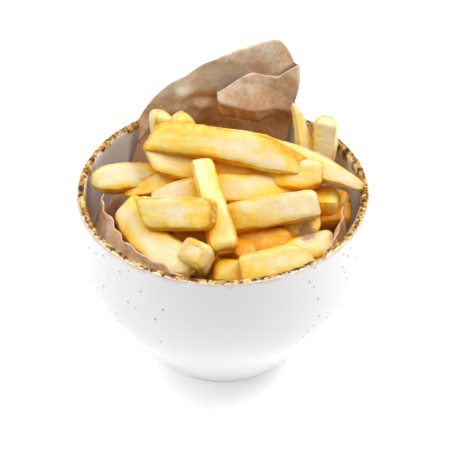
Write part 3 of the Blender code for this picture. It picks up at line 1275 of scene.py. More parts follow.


# shaded_right, shaded_front, right_filler and right_shaded lie low in shade, and their amber tone paints
# that shade into their colour.
TOP_FRIES = (
    Fry("crown", (-32.5, 15, 101.5), (40, -1, 96.5), 15.5, 12.5,
        Cut((0.9, 0.8), 0.16, slant=(0.3, 0.3)), Cut((0.30, 0.12), 0.34, lean=(0, -1)),
        bow=(0, 3, 2), roll=46, nose=3.6, tone=Tone.YELLOW),
    Fry("under_crown", (-32, 10, 94), (43, 2, 92), 14.5, 12,
        Cut((0.85, 0.6), 0.25, lean=(0, 1), slant=(-0.55, 0)), Cut((0.8, 0.8), 0.12),
        bow=(0, 1, -3), roll=44, nose=4.2, tone=Tone.CREAM),
    Fry("ridge", (6, 23, 95), (58.5, -6, 93), 12, 9,
        Cut((0.8, 0.6), 0.3), Cut((0.35, 0.2), 0.40, lean=(0, -1)),
        bow=(0, 2, -1), roll=38, nose=4.0, tone=Tone.CREAM),
    Fry("bridge", (-9, 2, 99), (0.5, -39, 84), 11.5, 9,
        Cut((0.95, 0.9), 0.1), Cut((0.95, 0.8), 0.1),
        bow=(0, 0, 1), flare=0.38, nose=3.0, tone=Tone.YELLOW),
    Fry("left_tip", (-57, 5, 86), (-10, 12, 82), 13, 11,
        Cut((0.62, 0.6), 0.22), bow=(0, 1, 1), roll=40, nose=5.0, tone=Tone.CREAM),
    Fry("left_sliver", (-42, 0, 85), (-4, 12, 84), 11, 9,
        Cut((0.35, 0.15), 0.45, lean=(0, -1)), roll=35, tone=Tone.AMBER),
    Fry("long_middle", (-31, -5, 85.5), (38, -1, 85.5), 13.5, 12,
        Cut((0.4, 0.15), 0.30, lean=(0, -0.8)), Cut((0.4, 0.15), 0.40, lean=(0, -0.4)),
        bow=(1, 2, 1), roll=42, tone=Tone.PALE),
    Fry("left_block", (-33.5, -21, 89.5), (-3.5, -31, 97.5), 14.5, 11,
        Cut(slant=(-0.45, 0)), Cut((0.85, 0.8), 0.12), roll=46, nose=2.8, crust=1.0, tone=Tone.YELLOW),
    Fry("banana", (-41, -5, 81), (-11, -44, 80), 15, 11,
        Cut((0.95, 0.8), 0.12), Cut((0.9, 0.75), 0.12),
        bow=(-4.5, -3, 0), roll=32, nose=4.2, tone=Tone.CREAM),
    Fry("end_on", (-11.5, -42.5, 87.5), (-8, -26, 64), 14, 13,
        roll=20, nose=3.4, crust=0.0, tone=Tone.PALE),
    Fry("right_block", (-6, -16, 79), (40, -11, 87), 14, 11,
        bow=(0, 0, 1), roll=46, nose=2.6, tone=Tone.CREAM),
    Fry("front_block", (7, -46, 80), (38, -38, 81.5), 13.5, 12,
        Cut(slant=(0.0, -0.35)), Cut((0.5, 0.4), 0.35, lean=(-1, -1)), roll=42, nose=2.8, tone=Tone.YELLOW),
    Fry("front_low", (-4, -40, 74), (22, -44, 73), 12, 11, roll=20, tone=Tone.GOLDEN),
    Fry("upright_wedge", (38, 24, 80), (34, 37, 105), 10, 8,
        SQUARE, Cut((0.12, 0.35), 0.9, lean=(0.8, 0)), nose=3.6, tone=Tone.PALE),
    Fry("upright_block", (44, 23, 80), (46, 31, 102), 11, 9, SQUARE, ROUND, nose=4.0, tone=Tone.CREAM),
    Fry("right_stub", (22, 0, 77), (50, -2, 81), 12, 11, roll=10, tone=Tone.YELLOW),
    Fry("skin_end", (22, -12, 73), (41, -10.5, 78), 13.5, 12,
        SQUARE, ROUND, roll=38, nose=4.6, tone=Tone.CREAM),
    Fry("right_low", (19, -27, 68), (48, -18, 72.5), 12, 11,
        SQUARE, ROUND, roll=34, nose=4.6, tone=Tone.CREAM),
    Fry("shaded_right", (4, -20, 71), (30, -20, 74), 12, 10,
        SQUARE, Cut((0.6, 0.5), 0.22), roll=34, nose=4.6, tone=Tone.AMBER),
    Fry("shaded_front", (3, -14, 72), (11, -30, 71), 11, 10, tone=Tone.AMBER),
    Fry("under_block", (-23, -26, 81), (2, -26, 78), 12, 11, ROUND, SQUARE, roll=30, tone=Tone.GOLDEN),
    Fry("left_peak", (-24.5, 26, 76), (-27.5, 31, 105), 11, 9,
        SQUARE, Cut((0.7, 0.7), 0.2, slant=(0.45, 0)), nose=4.0, tone=Tone.PALE),
    Fry("second_peak", (-16, 27, 76), (-19, 31, 104), 12, 9,
        SQUARE, Cut((0.4, 0.5), 0.3), nose=4.0, tone=Tone.CREAM),
    Fry("right_filler", (28, 9, 77), (54.5, 1, 75.5), 11, 11, roll=20, tone=Tone.AMBER),
    Fry("right_shaded", (34, -2, 71), (55.5, -3, 74.5), 12, 11, roll=20, tone=Tone.AMBER),
)


@dataclass(frozen=True)
class FryFinish:
    """Fried potato: pale waxy faces with clear yellow patches and browned edges and ends, with painted
    shade that turns faces golden to amber where they look down, lie low or are covered by other fries.
    """

    steps: tuple = (
        (0.00, (0.90, 0.75, 0.46)),
        (0.26, (0.90, 0.70, 0.25)),
        (0.50, (0.91, 0.63, 0.085)),
        (0.74, (0.90, 0.51, 0.014)),
        (1.00, (0.82, 0.34, 0.006)),
    )
    brown: Triple = (0.50, 0.18, 0.012)
    blister_and_highlight: Triple = (0.83, 0.75, 0.52)
    skin: Triple = (0.38, 0.20, 0.13)
    skin_place: Triple = (35.0, -19.0, 77.0)
    skin_size: float = 5.0
    glow: float = 0.22
    glow_reach: Triple = (1.0, 0.5, 0.14)
    glow_depth: float = 1.4
    gloss: float = 0.42
    roughness: Pair = (0.36, 0.58)
    bump_strength: float = 0.8
    bump_height: float = 0.5
    grain_scale: float = 900.0
    zone_scale: float = 95.0
    zone_stretch: Triple = (0.40, 1.0, 1.0)
    patch_scale: float = 190.0
    streak_scale: float = 620.0
    streak_stretch: Triple = (0.16, 1.0, 1.0)
    base_share: float = 0.10
    tone_share: float = 0.50
    painted_under_shade_share: float = 0.30
    shade_share: float = 0.95
    edge_share: float = 0.34
    zone_share: float = 1.9
    patch_share: float = 0.8
    streak_share: float = 0.2
    rough_share: float = 0.35

    def material(self) -> bpy.types.Material:
        """Builds the fried finish.

        Returns:
            The material. Each fry's tone and place, and how browned, covered or near an edge each point is,
            come from the mesh's attributes. How far a point is covered, turned down or low in the heap
            paints shade into its colour.
        """
        made, wire, shader = new_material("fries")
        place = wire.attribute("place", "Vector")
        tone, warm, edge, shade = (wire.attribute(name) for name in ("tone", "warm", "edge", "shade"))
        grain = wire.noise(place, self.grain_scale, 3.0, 0.7)
        rough = wire.less(grain, 0.5)
        zone = wire.grain(wire.stretched(place, self.zone_stretch), self.zone_scale, 2.0, 0.5, 0.5)
        patch = wire.noise(place, self.patch_scale, 3.0, 0.6, 0.5)
        streak = wire.noise(wire.stretched(place, self.streak_stretch), self.streak_scale, 3.0, 0.6)
        # The colour's share mixes real tone, browning and grain with painted shade: faces that turn down,
        # lie low or are covered by other fries move towards golden and amber.
        share = wire.total(
            self.base_share,
            wire.product(tone, self.tone_share),
            wire.product(warm, self.painted_under_shade_share),
            wire.product(shade, self.shade_share),
            wire.product(edge, self.edge_share),
            wire.product(zone, self.zone_share),
            wire.product(wire.less(patch, 0.5), self.patch_share),
            wire.product(wire.less(streak, 0.5), self.streak_share),
            wire.product(rough, self.rough_share),
        )
        colour = wire.ramp(share, list(self.steps))
        # Pale blister spots fade out where other fries cover a face, so they are part blister and part
        # painted highlight on the open faces.
        lit = wire.step(shade, 0.05, 0.30, 0.40, 0.0)
        spot = wire.product(wire.step(wire.noise(place, 420.0), 0.58, 0.72), lit)
        colour = wire.blend(spot, colour, self.blister_and_highlight)
        uneven = wire.step(wire.noise(place, 85.0), 0.36, 0.60, 0.15, 1.0)
        ragged = wire.step(wire.total(edge, wire.product(rough, 1.3)), 0.52, 0.85)
        # The brown along the edges is real browning, made deeper by tone and also by painted shade where a
        # face turns down, lies low or is covered.
        cooked_and_shaded = (wire.product(tone, 0.35), wire.product(warm, 0.25), wire.product(shade, 0.45))
        deep = wire.total(0.32, *cooked_and_shaded)
        colour = wire.blend(wire.product(ragged, uneven, deep), colour, self.brown)
        tip = wire.step(wire.total(wire.attribute("end"), rough), 0.5, 1.2)
        burnt = wire.step(wire.noise(place, 330.0), 0.44, 0.60, 0.3, 1.0)
        colour = wire.blend(wire.product(tip, burnt, wire.attribute("crust")), colour, self.brown)
        colour = wire.blend(wire.step(rough, -0.20, 0.20, 0.10, 0.0), colour, self.brown)
        colour = wire.blend(self.skinned(wire, rough), colour, self.skin)
        wire.plug(shader.inputs["Base Color"], colour)
        wire.plug(shader.inputs["Roughness"], wire.step(grain, 0.3, 0.7, *self.roughness))
        shader.inputs["Specular IOR Level"].default_value = self.gloss
        shader.inputs["Subsurface Weight"].default_value = self.glow
        shader.inputs["Subsurface Radius"].default_value = self.glow_reach
        shader.inputs["Subsurface Scale"].default_value = self.glow_depth * MM
        lines = wire.product(streak, 0.15)
        lumps = wire.product(patch, 0.6)
        pores = wire.product(grain, 0.4)
        height = wire.total(lines, lumps, pores, wire.product(ragged, grain, 0.6))
        normals = wire.bump(height, self.bump_strength, self.bump_height * MM)
        wire.plug(shader.inputs["Normal"], normals)
        return made

    def skinned(self, wire: Wiring, rough: Socket) -> Socket:
        """The patch of skin that one fry has kept.

        Args:
            wire: the material's wiring.
            rough: fine noise about zero, which tears its outline.

        Returns:
            How much skin there is.
        """
        middle = tuple(value * MM for value in self.skin_place)
        here = wire.node("ShaderNodeTexCoord").outputs["Object"]
        far = wire.product(wire.vector("DISTANCE", here, middle), 1.0 / (self.skin_size * MM))
        return wire.step(wire.total(far, wire.product(rough, 1.6)), 0.5, 1.1, 0.85, 0.0)


@dataclass(frozen=True)
class CoreFinish:
    """The fried potato deep in the heap, in dark browns that paint the shade of what lies on it."""

    light: Triple = (0.50, 0.22, 0.03)
    dark: Triple = (0.22, 0.07, 0.01)
    patch_scale: float = 120.0
    roughness: float = 0.6

    def material(self) -> bpy.types.Material:
        """Builds the finish of the buried part.

        Returns:
            The material, which reads the core's own coordinates.
        """
        made, wire, shader = new_material("buried_fries")
        place = wire.node("ShaderNodeTexCoord").outputs["Object"]
        patch = wire.noise(place, self.patch_scale, 3.0)
        wire.plug(shader.inputs["Base Color"], wire.blend(patch, self.dark, self.light))
        shader.inputs["Roughness"].default_value = self.roughness
        return made


@dataclass(frozen=True)
class FryHeap:
    """The heap: the fries that show, the buried ones that they lie on, and a small core under those."""

    bowl: Bowl
    top: tuple[Fry, ...] = TOP_FRIES
    core_rings: tuple = ((12, 0.75), (20, 0.95), (34, 0.96), (48, 0.95), (57, 0.88), (63, 0.70), (65, 0.40))
    core_sides: int = 48
    core_gap: float = 2.6
    core_lumps: float = 2.0
    layers: tuple = ((60.0, 25.0), (68.5, -40.0), (76.0, 5.0))
    spacing: float = 12.5
    pitch: float = 44.0
    rows_aside: int = 5
    cells_ahead: int = 2
    wall_gap: float = 9.0
    sunk: float = 1.5
    loose_aside: float = 2.0
    loose_ahead: float = 14.0
    loose_turn: float = 14.0
    loose_roll: float = 30.0
    tilt: float = 3.0
    half_lengths: Pair = (15.0, 24.0)
    widths: Pair = (9.5, 12.0)
    flatness: float = 0.5
    seed: int = 11
    seed_step: float = 0.13
    fine_steps: tuple[int, int] = (56, 12)
    plain_steps: tuple[int, int] = (20, 6)
    edge_fade: float = 0.9
    end_fade: float = 2.5
    ways: int = 26
    near: float = 20.0
    lift: float = 0.9
    deep: float = 66.0
    high: float = 92.0

    def fry_tree(self) -> bpy.types.NodeTree:
        """The tree that shapes one fry, along X about the origin.

        Returns:
            The tree. It stores where each point is on the fry, and how near an edge or an end.
        """
        inputs = {
            "Length": ("Float", 0.06),
            "Width": ("Float", 0.012),
            "Depth": ("Float", 0.011),
            "Start Share": ("Vector", (0.0, 1.0, 1.0)),
            "End Share": ("Vector", (0.0, 1.0, 1.0)),
            "Start Reach": ("Float", 0.3),
            "End Reach": ("Float", 0.3),
            "Start Lean": ("Vector", (0.0, 0.0, 0.0)),
            "End Lean": ("Vector", (0.0, 0.0, 0.0)),
            "Start Slant": ("Vector", (0.0, 0.0, 0.0)),
            "End Slant": ("Vector", (0.0, 0.0, 0.0)),
            "Bow": ("Vector", (0.0, 0.0, 0.0)),
            "Flare": ("Float", 0.0),
            "Squareness": ("Float", 3.7),
            "Edge Radius": ("Float", 0.0030),
            "Hollow": ("Float", 0.05),
            "Unevenness": ("Float", 0.0012),
            "Tone": ("Float", 0.0),
            "Crust": ("Float", 0.3),
            "Seed": ("Float", 0.0),
            "Steps Along": ("Int", 56),
            "Steps Across": ("Int", 12),
            "Finish": ("Material", None),
        }
        tree, wire, entry = new_shape_tree("fry", inputs)
        plugs = {
            "Size": (2.0, 2.0, 2.0),
            "Vertices X": entry["Steps Along"],
            "Vertices Y": entry["Steps Across"],
            "Vertices Z": entry["Steps Across"],
        }
        cube = wire.node("GeometryNodeMeshCube", plugs).outputs["Mesh"]
        even = wire.split(wire.node("GeometryNodeInputPosition").outputs[0])
        u, v, w = (self.crowded(wire, part, share) for part, share in zip(even, (0.6, 0.7, 0.7)))
        half = [wire.product(entry[name], 0.5) for name in ("Length", "Width", "Depth")]
        gaps = []
        for part, size in zip((u, v, w), half):
            gaps.append(wire.product(wire.less(1.0, wire.math("ABSOLUTE", part)), size))
        least = wire.math("MINIMUM", gaps[0], wire.math("MINIMUM", gaps[1], gaps[2]))
        most = wire.math("MAXIMUM", gaps[0], wire.math("MAXIMUM", gaps[1], gaps[2]))
        to_edge = wire.less(wire.less(wire.total(*gaps), least), most)
        edge = wire.math("EXPONENT", wire.product(to_edge, -1.0 / (self.edge_fade * MM)))
        end = wire.math("EXPONENT", wire.product(gaps[0], -1.0 / (self.end_fade * MM)))
        seed = wire.scaled((0.731, 0.317, 0.523), entry["Seed"])
        middle, place = self.outline(wire, entry, (u, v, w), half, gaps[0], seed)
        shape = store(wire, cube, "edge", edge)
        shape = store(wire, shape, "end", end)
        shape = store(wire, shape, "tone", entry["Tone"])
        shape = store(wire, shape, "crust", entry["Crust"])
        shape = store(wire, shape, "place", wire.vector("ADD", middle, seed), "FLOAT_VECTOR")
        shape = wire.node("GeometryNodeSetPosition", {"Geometry": shape, "Position": place}).outputs[0]
        shape = self.roughened(wire, shape, seed, wire.product(end, entry["Crust"]))
        end_tree(wire, shape, entry["Finish"])
        return tree

    def crowded(self, wire: Wiring, part: Socket, share: float) -> Socket:
        """Moves even steps from -1 to 1 closer together towards both ends.

        Args:
            wire: the tree's wiring.
            part: the even steps.
            share: how far they are moved, from 0 to 1.

        Returns:
            The moved steps.
        """
        curved = wire.math("SINE", wire.product(part, math.pi / 2))
        return wire.total(wire.product(curved, share), wire.product(part, 1 - share))

    def outline(
        self, wire: Wiring, entry: dict, parts: tuple, half: list, to_end: Socket, seed: Socket
    ) -> tuple[Socket, Socket]:
        """Works out where each point goes.

        Args:
            wire: the tree's wiring.
            entry: the tree's inputs.
            parts: the point on a block from -1 to 1 each way.
            half: half the length, width and depth.
            to_end: how far the point is from the nearer end.
            seed: an offset for the noise.

        Returns:
            The point before the fry is bent and made uneven, and after.
        """
        u, v, w = parts
        a, b = wire.math("ABSOLUTE", v), wire.math("ABSOLUTE", w)
        outer = wire.math("MAXIMUM", wire.math("MAXIMUM", a, b), 0.0001)
        a, b = wire.math("DIVIDE", a, outer), wire.math("DIVIDE", b, outer)
        power = entry["Squareness"]
        spread = wire.total(wire.math("POWER", a, power), wire.math("POWER", b, power))
        rounded = wire.math("POWER", spread, wire.math("DIVIDE", -1.0, power))
        along_face = wire.math("MINIMUM", a, b)
        dip = wire.less(1.0, wire.product(along_face, along_face))
        rounded = wire.product(rounded, wire.less(1.0, wire.product(dip, entry["Hollow"])))
        radius = entry["Edge Radius"]
        short = wire.less(radius, wire.math("MINIMUM", to_end, radius))
        square = wire.less(wire.product(radius, radius), wire.product(short, short))
        inset = wire.less(radius, wire.math("SQRT", wire.math("MAXIMUM", square, 0.0)))
        losses, slants, shifts = self.ends(wire, entry, u)
        _, *loss = wire.split(wire.vector("ADD", *losses))
        _, *shift = wire.split(wire.vector("ADD", *shifts))
        sides = []
        for part, size, lost, moved in zip((v, w), half[1:], loss, shift):
            ended = wire.less(1.0, wire.math("DIVIDE", inset, size))
            share = wire.product(rounded, ended, wire.less(1.0, lost))
            sides.append(wire.product(size, wire.total(wire.product(part, share), moved)))
        sides[0] = wire.product(sides[0], wire.total(1.0, wire.product(u, entry["Flare"], 0.5)))
        slant = wire.vector("DOT_PRODUCT", wire.vector("ADD", *slants), wire.join(0.0, *sides))
        plain = wire.join(wire.total(wire.product(u, half[0]), slant), *sides)
        bow = wire.scaled(entry["Bow"], wire.less(1.0, wire.product(u, u)))
        away = wire.vector("ADD", plain, seed)
        broad = wire.scaled(wire.drift(away, 55.0), 2.0)
        fine = wire.scaled(wire.drift(away, 170.0), 0.7)
        uneven = wire.scaled(wire.vector("ADD", broad, fine), entry["Unevenness"])
        return plain, wire.vector("ADD", wire.vector("ADD", plain, bow), uneven)

    def ends(self, wire: Wiring, entry: dict, u: Socket) -> tuple[list, list, list]:
        """What the cuts at both ends do to a fry's section.

        Args:
            wire: the tree's wiring.
            entry: the tree's inputs.
            u: the way along the fry from -1 to 1.

        Returns:
            For each end, the share that it takes off the width and depth, its slant, and how far it moves
            what is left to one side.
        """
        way = wire.product(wire.total(u, 1.0), 0.5)
        losses, slants, shifts = [], [], []
        for distance, name in ((way, "Start"), (wire.less(1.0, way), "End")):
            left = wire.less(1.0, wire.math("DIVIDE", distance, entry[name + " Reach"]))
            taper = wire.math("POWER", wire.math("MAXIMUM", left, 0.0), 1.6)
            lost = wire.scaled(wire.vector("SUBTRACT", (1.0, 1.0, 1.0), entry[name + " Share"]), taper)
            losses.append(lost)
            shifts.append(wire.vector("MULTIPLY", lost, entry[name + " Lean"]))
            close = wire.math("MAXIMUM", wire.less(1.0, wire.product(distance, 3.0)), 0.0)
            slants.append(wire.scaled(entry[name + " Slant"], close))
        return losses, slants, shifts

    def roughened(self, wire: Wiring, shape: Socket, seed: Socket, crust: Socket) -> Socket:
        """Adds shallow grooves along the fry and a fine grain, outwards from its faces.

        Args:
            wire: the tree's wiring.
            shape: the fry.
            seed: an offset for the noise.
            crust: how rough a browned end is there.

        Returns:
            The rough fry.
        """
        place = wire.vector("ADD", wire.node("GeometryNodeInputPosition").outputs[0], seed)
        lengthened = wire.vector("MULTIPLY", place, (0.18, 1.0, 1.0))
        groove = wire.product(wire.grain(lengthened, 420.0), 0.35 * MM)
        grain = wire.product(wire.grain(place, 620.0, 1.0), 0.40 * MM)
        lump = wire.product(wire.grain(place, 300.0), crust, 5.0 * MM)
        amount = wire.total(groove, grain, lump)
        offset = wire.scaled(wire.node("GeometryNodeInputNormal").outputs[0], amount)
        return wire.node("GeometryNodeSetPosition", {"Geometry": shape, "Offset": offset}).outputs[0]

    def heap_tree(self) -> bpy.types.NodeTree:
        """The tree that joins a collection of placed fries.

        Returns:
            The tree. It also stores how far each face turns down or lies low, and how far others cover it,
            which the finish paints as shade.
        """
        inputs = {
            "Fries": ("Collection", None),
            "Deep": ("Float", 0.07),
            "High": ("Float", 0.10),
            "Reach": ("Float", 0.016),
            "Finish": ("Material", None),
        }
        tree, wire, entry = new_shape_tree("fry_heap", inputs)
        plugs = {"Collection": entry["Fries"], "Separate Children": False}
        placed = wire.node("GeometryNodeCollectionInfo", plugs, transform_space="ORIGINAL").outputs[0]
        real = wire.node("GeometryNodeRealizeInstances", {"Geometry": placed}).outputs[0]
        _, _, up = wire.split(wire.node("GeometryNodeInputNormal").outputs[0])
        _, _, height = wire.split(wire.node("GeometryNodeInputPosition").outputs[0])
        # Faces that turn down or lie low in the heap get a share of painted shade; the finish reads it with
        # the covered share.
        under = wire.step(up, -0.5, 0.75, 1.0, 0.0)
        low = wire.step(height, entry["Deep"], entry["High"], 1.0, 0.0)
        warm = wire.total(wire.product(under, 0.75), wire.product(low, 0.6))
        shape = store(wire, real, "warm", warm)
        shape = store(wire, shape, "shade", self.covered(wire, real, entry["Reach"]))
        end_tree(wire, shape, entry["Finish"])
        return tree

    def covered(self, wire: Wiring, shape: Socket, reach: Socket) -> Socket:
        """How much of what a face looks at is other fries, near by.

        Args:
            wire: the tree's wiring.
            shape: the joined fries.
            reach: how near another fry must be.

        Returns:
            A share from 0 to 1, evened out over the face.
        """
        normal = wire.node("GeometryNodeInputNormal").outputs[0]
        here = wire.node("GeometryNodeInputPosition").outputs[0]
        start = wire.vector("ADD", here, wire.scaled(normal, self.lift * MM))
        blocked, whole = [], []
        golden = math.pi * (3 - math.sqrt(5))
        for number in range(self.ways):
            up = 1 - 2 * (number + 0.5) / self.ways
            flat = math.sqrt(1 - up * up)
            way = (flat * math.cos(golden * number), flat * math.sin(golden * number), up)
            weight = wire.math("MAXIMUM", wire.vector("DOT_PRODUCT", normal, way), 0.0)
            plugs = {
                "Target Geometry": shape,
                "Source Position": start,
                "Ray Direction": way,
                "Ray Length": reach,
            }
            ray = wire.node("GeometryNodeRaycast", plugs)
            near = wire.less(1.0, wire.math("DIVIDE", ray.outputs["Hit Distance"], reach))
            blocked.append(wire.product(weight, ray.outputs["Is Hit"], near))
            whole.append(weight)
        share = wire.math("DIVIDE", wire.total(*blocked), wire.total(*whole))
        plugs = {"Value": share, "Iterations": 2}
        return wire.node("GeometryNodeBlurAttribute", plugs, data_type="FLOAT").outputs[0]

    def shaped(self, fry: Fry, number: int, tree: bpy.types.NodeTree, fine: bool) -> bpy.types.Object:
        """One fry as an object, placed in the heap.

        Args:
            fry: what it is like.
            number: its number, which seeds its unevenness.
            tree: the tree that shapes it.
            fine: whether it is close to the eye.

        Returns:
            The object, with the tree live on it.
        """
        bow = fry.turned().to_3x3().inverted() @ Vector(fry.bow)
        along, across = self.fine_steps if fine else self.plain_steps
        values = {
            "Length": fry.length() * MM,
            "Width": fry.width * MM,
            "Depth": fry.depth * MM,
            "Bow": tuple(bow * MM),
            "Flare": fry.flare,
            "Edge Radius": fry.nose * MM,
            "Tone": fry.tone.value,
            "Crust": fry.crust,
            "Seed": self.seed_step * (number + 1),
            "Steps Along": along,
            "Steps Across": across,
        }
        for name, cut in (("Start", fry.first), ("End", fry.last)):
            values[name + " Share"] = (0.0, *cut.share)
            values[name + " Reach"] = cut.reach
            values[name + " Lean"] = (0.0, *cut.lean)
            values[name + " Slant"] = (0.0, *cut.slant)
        obj = shaped_by("fry_" + fry.name, tree, values)
        obj.matrix_world = fry.place()
        return obj

    def buried(self) -> list[Fry]:
        """Layers of fries laid side by side, each layer another way, inside the heap's own outline.

        Returns:
            The fries that fit.
        """
        solid = frame["nodes"]["fries_heap"].data
        corners = [vertex.co / MM for vertex in solid.vertices]
        outline = BVHTree.FromPolygons(corners, [face.vertices[:] for face in solid.polygons])
        rng = random.Random(self.seed)
        fries = []
        for number, (height, heading) in enumerate(self.layers):
            turn = Matrix.Rotation(math.radians(heading), 3, "Z")
            reach = self.bowl.inner_radius(height) - self.wall_gap
            for row in range(-self.rows_aside, self.rows_aside + 1):
                for cell in range(-self.cells_ahead, self.cells_ahead + 1):
                    name = f"buried_{number}_{row + self.rows_aside}_{cell + self.cells_ahead}"
                    fry = self.laid(rng, name, turn, row, cell, height)
                    if self.fits(outline, fry, reach):
                        tone = rng.choice((Tone.YELLOW, Tone.GOLDEN, Tone.AMBER))
                        fries.append(replace(fry, tone=tone))
        return fries

    def laid(
        self, rng: random.Random, name: str, turn: Matrix, row: int, cell: int, height: float
    ) -> Fry:
        """One fry of a layer, a little out of its row.

        Args:
            rng: where its unevenness comes from.
            name: its name.
            turn: the layer's heading.
            row: which row of the layer it is in.
            cell: its place in the row.
            height: how high the layer is.

        Returns:
            The fry.
        """
        along, across = turn @ Vector((1, 0, 0)), turn @ Vector((0, 1, 0))
        aside = row * self.spacing + rng.uniform(-self.loose_aside, self.loose_aside)
        ahead = cell * self.pitch + rng.uniform(-self.loose_ahead, self.loose_ahead)
        middle = across * aside + along * ahead
        middle.z = height + rng.uniform(-self.loose_aside, self.loose_aside)
        swing = Matrix.Rotation(math.radians(rng.uniform(-self.loose_turn, self.loose_turn)), 3, "Z")
        half = swing @ along * rng.uniform(*self.half_lengths)
        half.z = rng.uniform(-self.tilt, self.tilt)
        size = rng.uniform(*self.widths)
        roll = rng.uniform(-self.loose_roll, self.loose_roll)
        ends = (tuple(middle - half), tuple(middle + half))
        return Fry(name, *ends, size, size - self.flatness, roll=roll)

    def fits(self, outline: BVHTree, fry: Fry, reach: float) -> bool:
        """Whether a fry stays inside the bowl and in the heap's outline.

        Args:
            outline: the heap's plain solid.
            fry: the fry.
            reach: how far from the axis its corners may come.

        Returns:
            True if both ends and the middle do.
        """
        start, end = Vector(fry.start), Vector(fry.end)
        if any(math.hypot(point.x, point.y) > reach - fry.width / 2 for point in (start, end)):
            return False
        for point in (start, end, (start + end) / 2):
            nearest, normal, _, distance = outline.find_nearest(point)
            if (point - nearest).dot(normal) >= 0 or distance <= fry.width / 2 - self.sunk:
                return False
        return True

    def core(self) -> bpy.types.Object:
        """The small mound under the buried fries.

        Returns:
            The core.
        """
        points, faces = [], []
        sides = self.core_sides
        for height, fill in self.core_rings:
            radius = (self.bowl.inner_radius(height) - self.core_gap) * fill
            for side in range(sides):
                turn = math.tau * side / sides
                x, y = radius * math.cos(turn), radius * math.sin(turn)
                lump = self.core_lumps * noise.noise(Vector((x, y, height)) / 9)
                points.append((x, y, height + lump))
        for ring in range(len(self.core_rings) - 1):
            for side in range(sides):
                after = (side + 1) % sides
                low, high = ring * sides, (ring + 1) * sides
                faces.append([low + side, low + after, high + after, high + side])
        for start in (0, len(points) - sides):
            faces.append(list(range(start, start + sides)))
        return mesh_piece("fries_core", points, faces, CoreFinish().material())

    def build(self, finish: FryFinish) -> list[bpy.types.Object]:
        """Makes the fries in place of the heap's plain solid.

        Args:
            finish: the fried finish.

        Returns:
            The fries as one piece, and the core.
        """
        tree = self.fry_tree()
        dressed = finish.material()
        placed = bpy.data.collections.new("placed_fries")
        buried = self.buried()
        for number, fry in enumerate((*self.top, *buried)):
            obj = self.shaped(fry, number, tree, number < len(self.top))
            bpy.context.scene.collection.objects.unlink(obj)
            placed.objects.link(obj)
        log.info("%d fries on top of %d buried ones", len(self.top), len(buried))
        values = {
            "Fries": placed,
            "Deep": self.deep * MM,
            "High": self.high * MM,
            "Reach": self.near * MM,
            "Finish": dressed,
        }
        fries = settled(shaped_by("fries", self.heap_tree(), values))
        for obj in list(placed.objects):
            bpy.data.objects.remove(obj, do_unlink=True)
        bpy.data.collections.remove(placed)
        core = self.core()
        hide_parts("fries_heap")
        for piece in (fries, core):
            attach(piece, ROOT)
        return [fries, core]


# ---- the studio ----


@dataclass(frozen=True)
class Lamp:
    """A soft white square light: where it stands, its side in metres and its power in watts."""

    name: str
    place: Triple
    side: float
    power: float


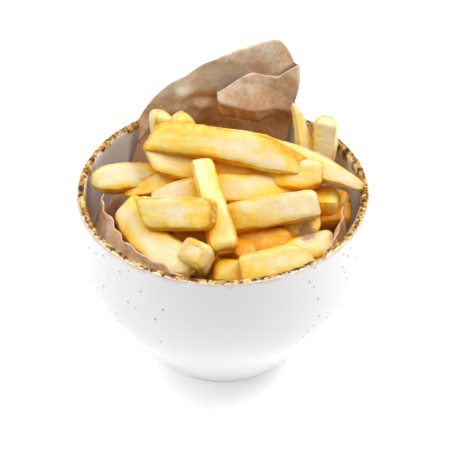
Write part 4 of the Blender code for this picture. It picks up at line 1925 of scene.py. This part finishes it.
@dataclass(frozen=True)
class Studio:
    """A plain pale floor, soft light from all round and a camera that looks down into the bowl."""

    distance: float = 0.57
    elevation: float = 40.17
    target: Triple = (0.0008, 0.0, 0.0657)
    lens: float = 104.36
    floor_size: float = 6.0
    floor_colour: Triple = (0.96, 0.96, 0.96)
    floor_roughness: float = 0.9
    sky: float = 0.38
    front_sky: float = 0.02
    front_sides: Pair = (-0.95, -0.25)
    front_top: Pair = (0.25, 0.75)
    floor_glow: float = 0.28
    lamps: tuple[Lamp, ...] = (
        Lamp("key", (0.04, -0.22, 0.92), 0.40, 1.2),
        Lamp("high_left", (-0.48, 0.06, 0.78), 0.40, 2.9),
        Lamp("high_right", (0.50, 0.06, 0.78), 0.40, 5.5),
        Lamp("left", (-0.78, -0.12, 0.46), 0.50, 1.4),
        Lamp("right", (0.78, -0.12, 0.46), 0.50, 0.3),
    )

    def floor(self) -> None:
        """The floor, which glows faintly of itself."""
        half = self.floor_size / 2
        corners = [(-half, -half, 0), (half, -half, 0), (half, half, 0), (-half, half, 0)]
        mesh = bpy.data.meshes.new("floor")
        mesh.from_pydata(corners, [], [(0, 1, 2, 3)])
        made, _, shader = new_material("floor")
        shader.inputs["Base Color"].default_value = (*self.floor_colour, 1.0)
        shader.inputs["Roughness"].default_value = self.floor_roughness
        shader.inputs["Emission Color"].default_value = WHITE
        shader.inputs["Emission Strength"].default_value = self.floor_glow
        mesh.materials.append(made)
        floor = bpy.data.objects.new("floor", mesh)
        bpy.context.scene.collection.objects.link(floor)

    def light(self) -> None:
        """The lamps, and the even light of the room, which is dimmer low down in front."""
        middle = Vector(self.target)
        for lamp in self.lamps:
            data = bpy.data.lights.new(lamp.name, "AREA")
            data.size = lamp.side
            data.energy = lamp.power
            obj = bpy.data.objects.new(lamp.name, data)
            obj.location = lamp.place
            obj.rotation_euler = (middle - Vector(lamp.place)).to_track_quat("-Z", "Y").to_euler()
            bpy.context.scene.collection.objects.link(obj)
        world = bpy.data.worlds.new("room")
        world.use_nodes = True
        wire = Wiring(world.node_tree)
        _, y, z = wire.split(wire.node("ShaderNodeTexCoord").outputs["Generated"])
        ahead = wire.step(y, *self.front_sides, 1.0, 0.0)
        level = wire.step(z, *self.front_top, 1.0, 0.0)
        dimmed = wire.product(ahead, level, self.front_sky - self.sky)
        backdrop = world.node_tree.nodes["Background"]
        backdrop.inputs["Color"].default_value = WHITE
        wire.plug(backdrop.inputs["Strength"], wire.total(dimmed, self.sky))
        bpy.context.scene.world = world

    def camera(self) -> None:
        """The camera, in front of the bowl and above it."""
        data = bpy.data.cameras.new("camera")
        data.lens = self.lens
        turn = math.radians(self.elevation)
        way = Vector((0, -math.cos(turn), math.sin(turn)))
        obj = bpy.data.objects.new("camera", data)
        obj.location = Vector(self.target) + way * self.distance
        obj.rotation_euler = (-way).to_track_quat("-Z", "Y").to_euler()
        bpy.context.scene.collection.objects.link(obj)
        bpy.context.scene.camera = obj

    def build(self) -> None:
        """Sets up the floor, the light and the camera."""
        self.floor()
        self.light()
        self.camera()
        bpy.context.scene.view_settings.view_transform = "Standard"


def report(*pieces: bpy.types.Object) -> None:
    """Logs each finished piece.

    Args:
        pieces: the pieces, whose size and number of faces are logged.
    """
    for piece in pieces:
        size = [round(side / MM, 1) for side in piece.dimensions]
        log.info("%s: %d faces, %s mm", piece.name, len(piece.data.polygons), size)


def main() -> None:
    """Builds the portion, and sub-assembly by sub-assembly."""
    logging.basicConfig(level=logging.INFO, format="%(message)s")
    Studio().build()
    bowl = Bowl()
    report(bowl.build(GlazeFinish()))
    report(PaperLiner(bowl).build(PaperFinish()))
    report(*FryHeap(bowl).build(FryFinish()))
    bpy.context.view_layer.update()


if __name__ == "__main__":
    main()
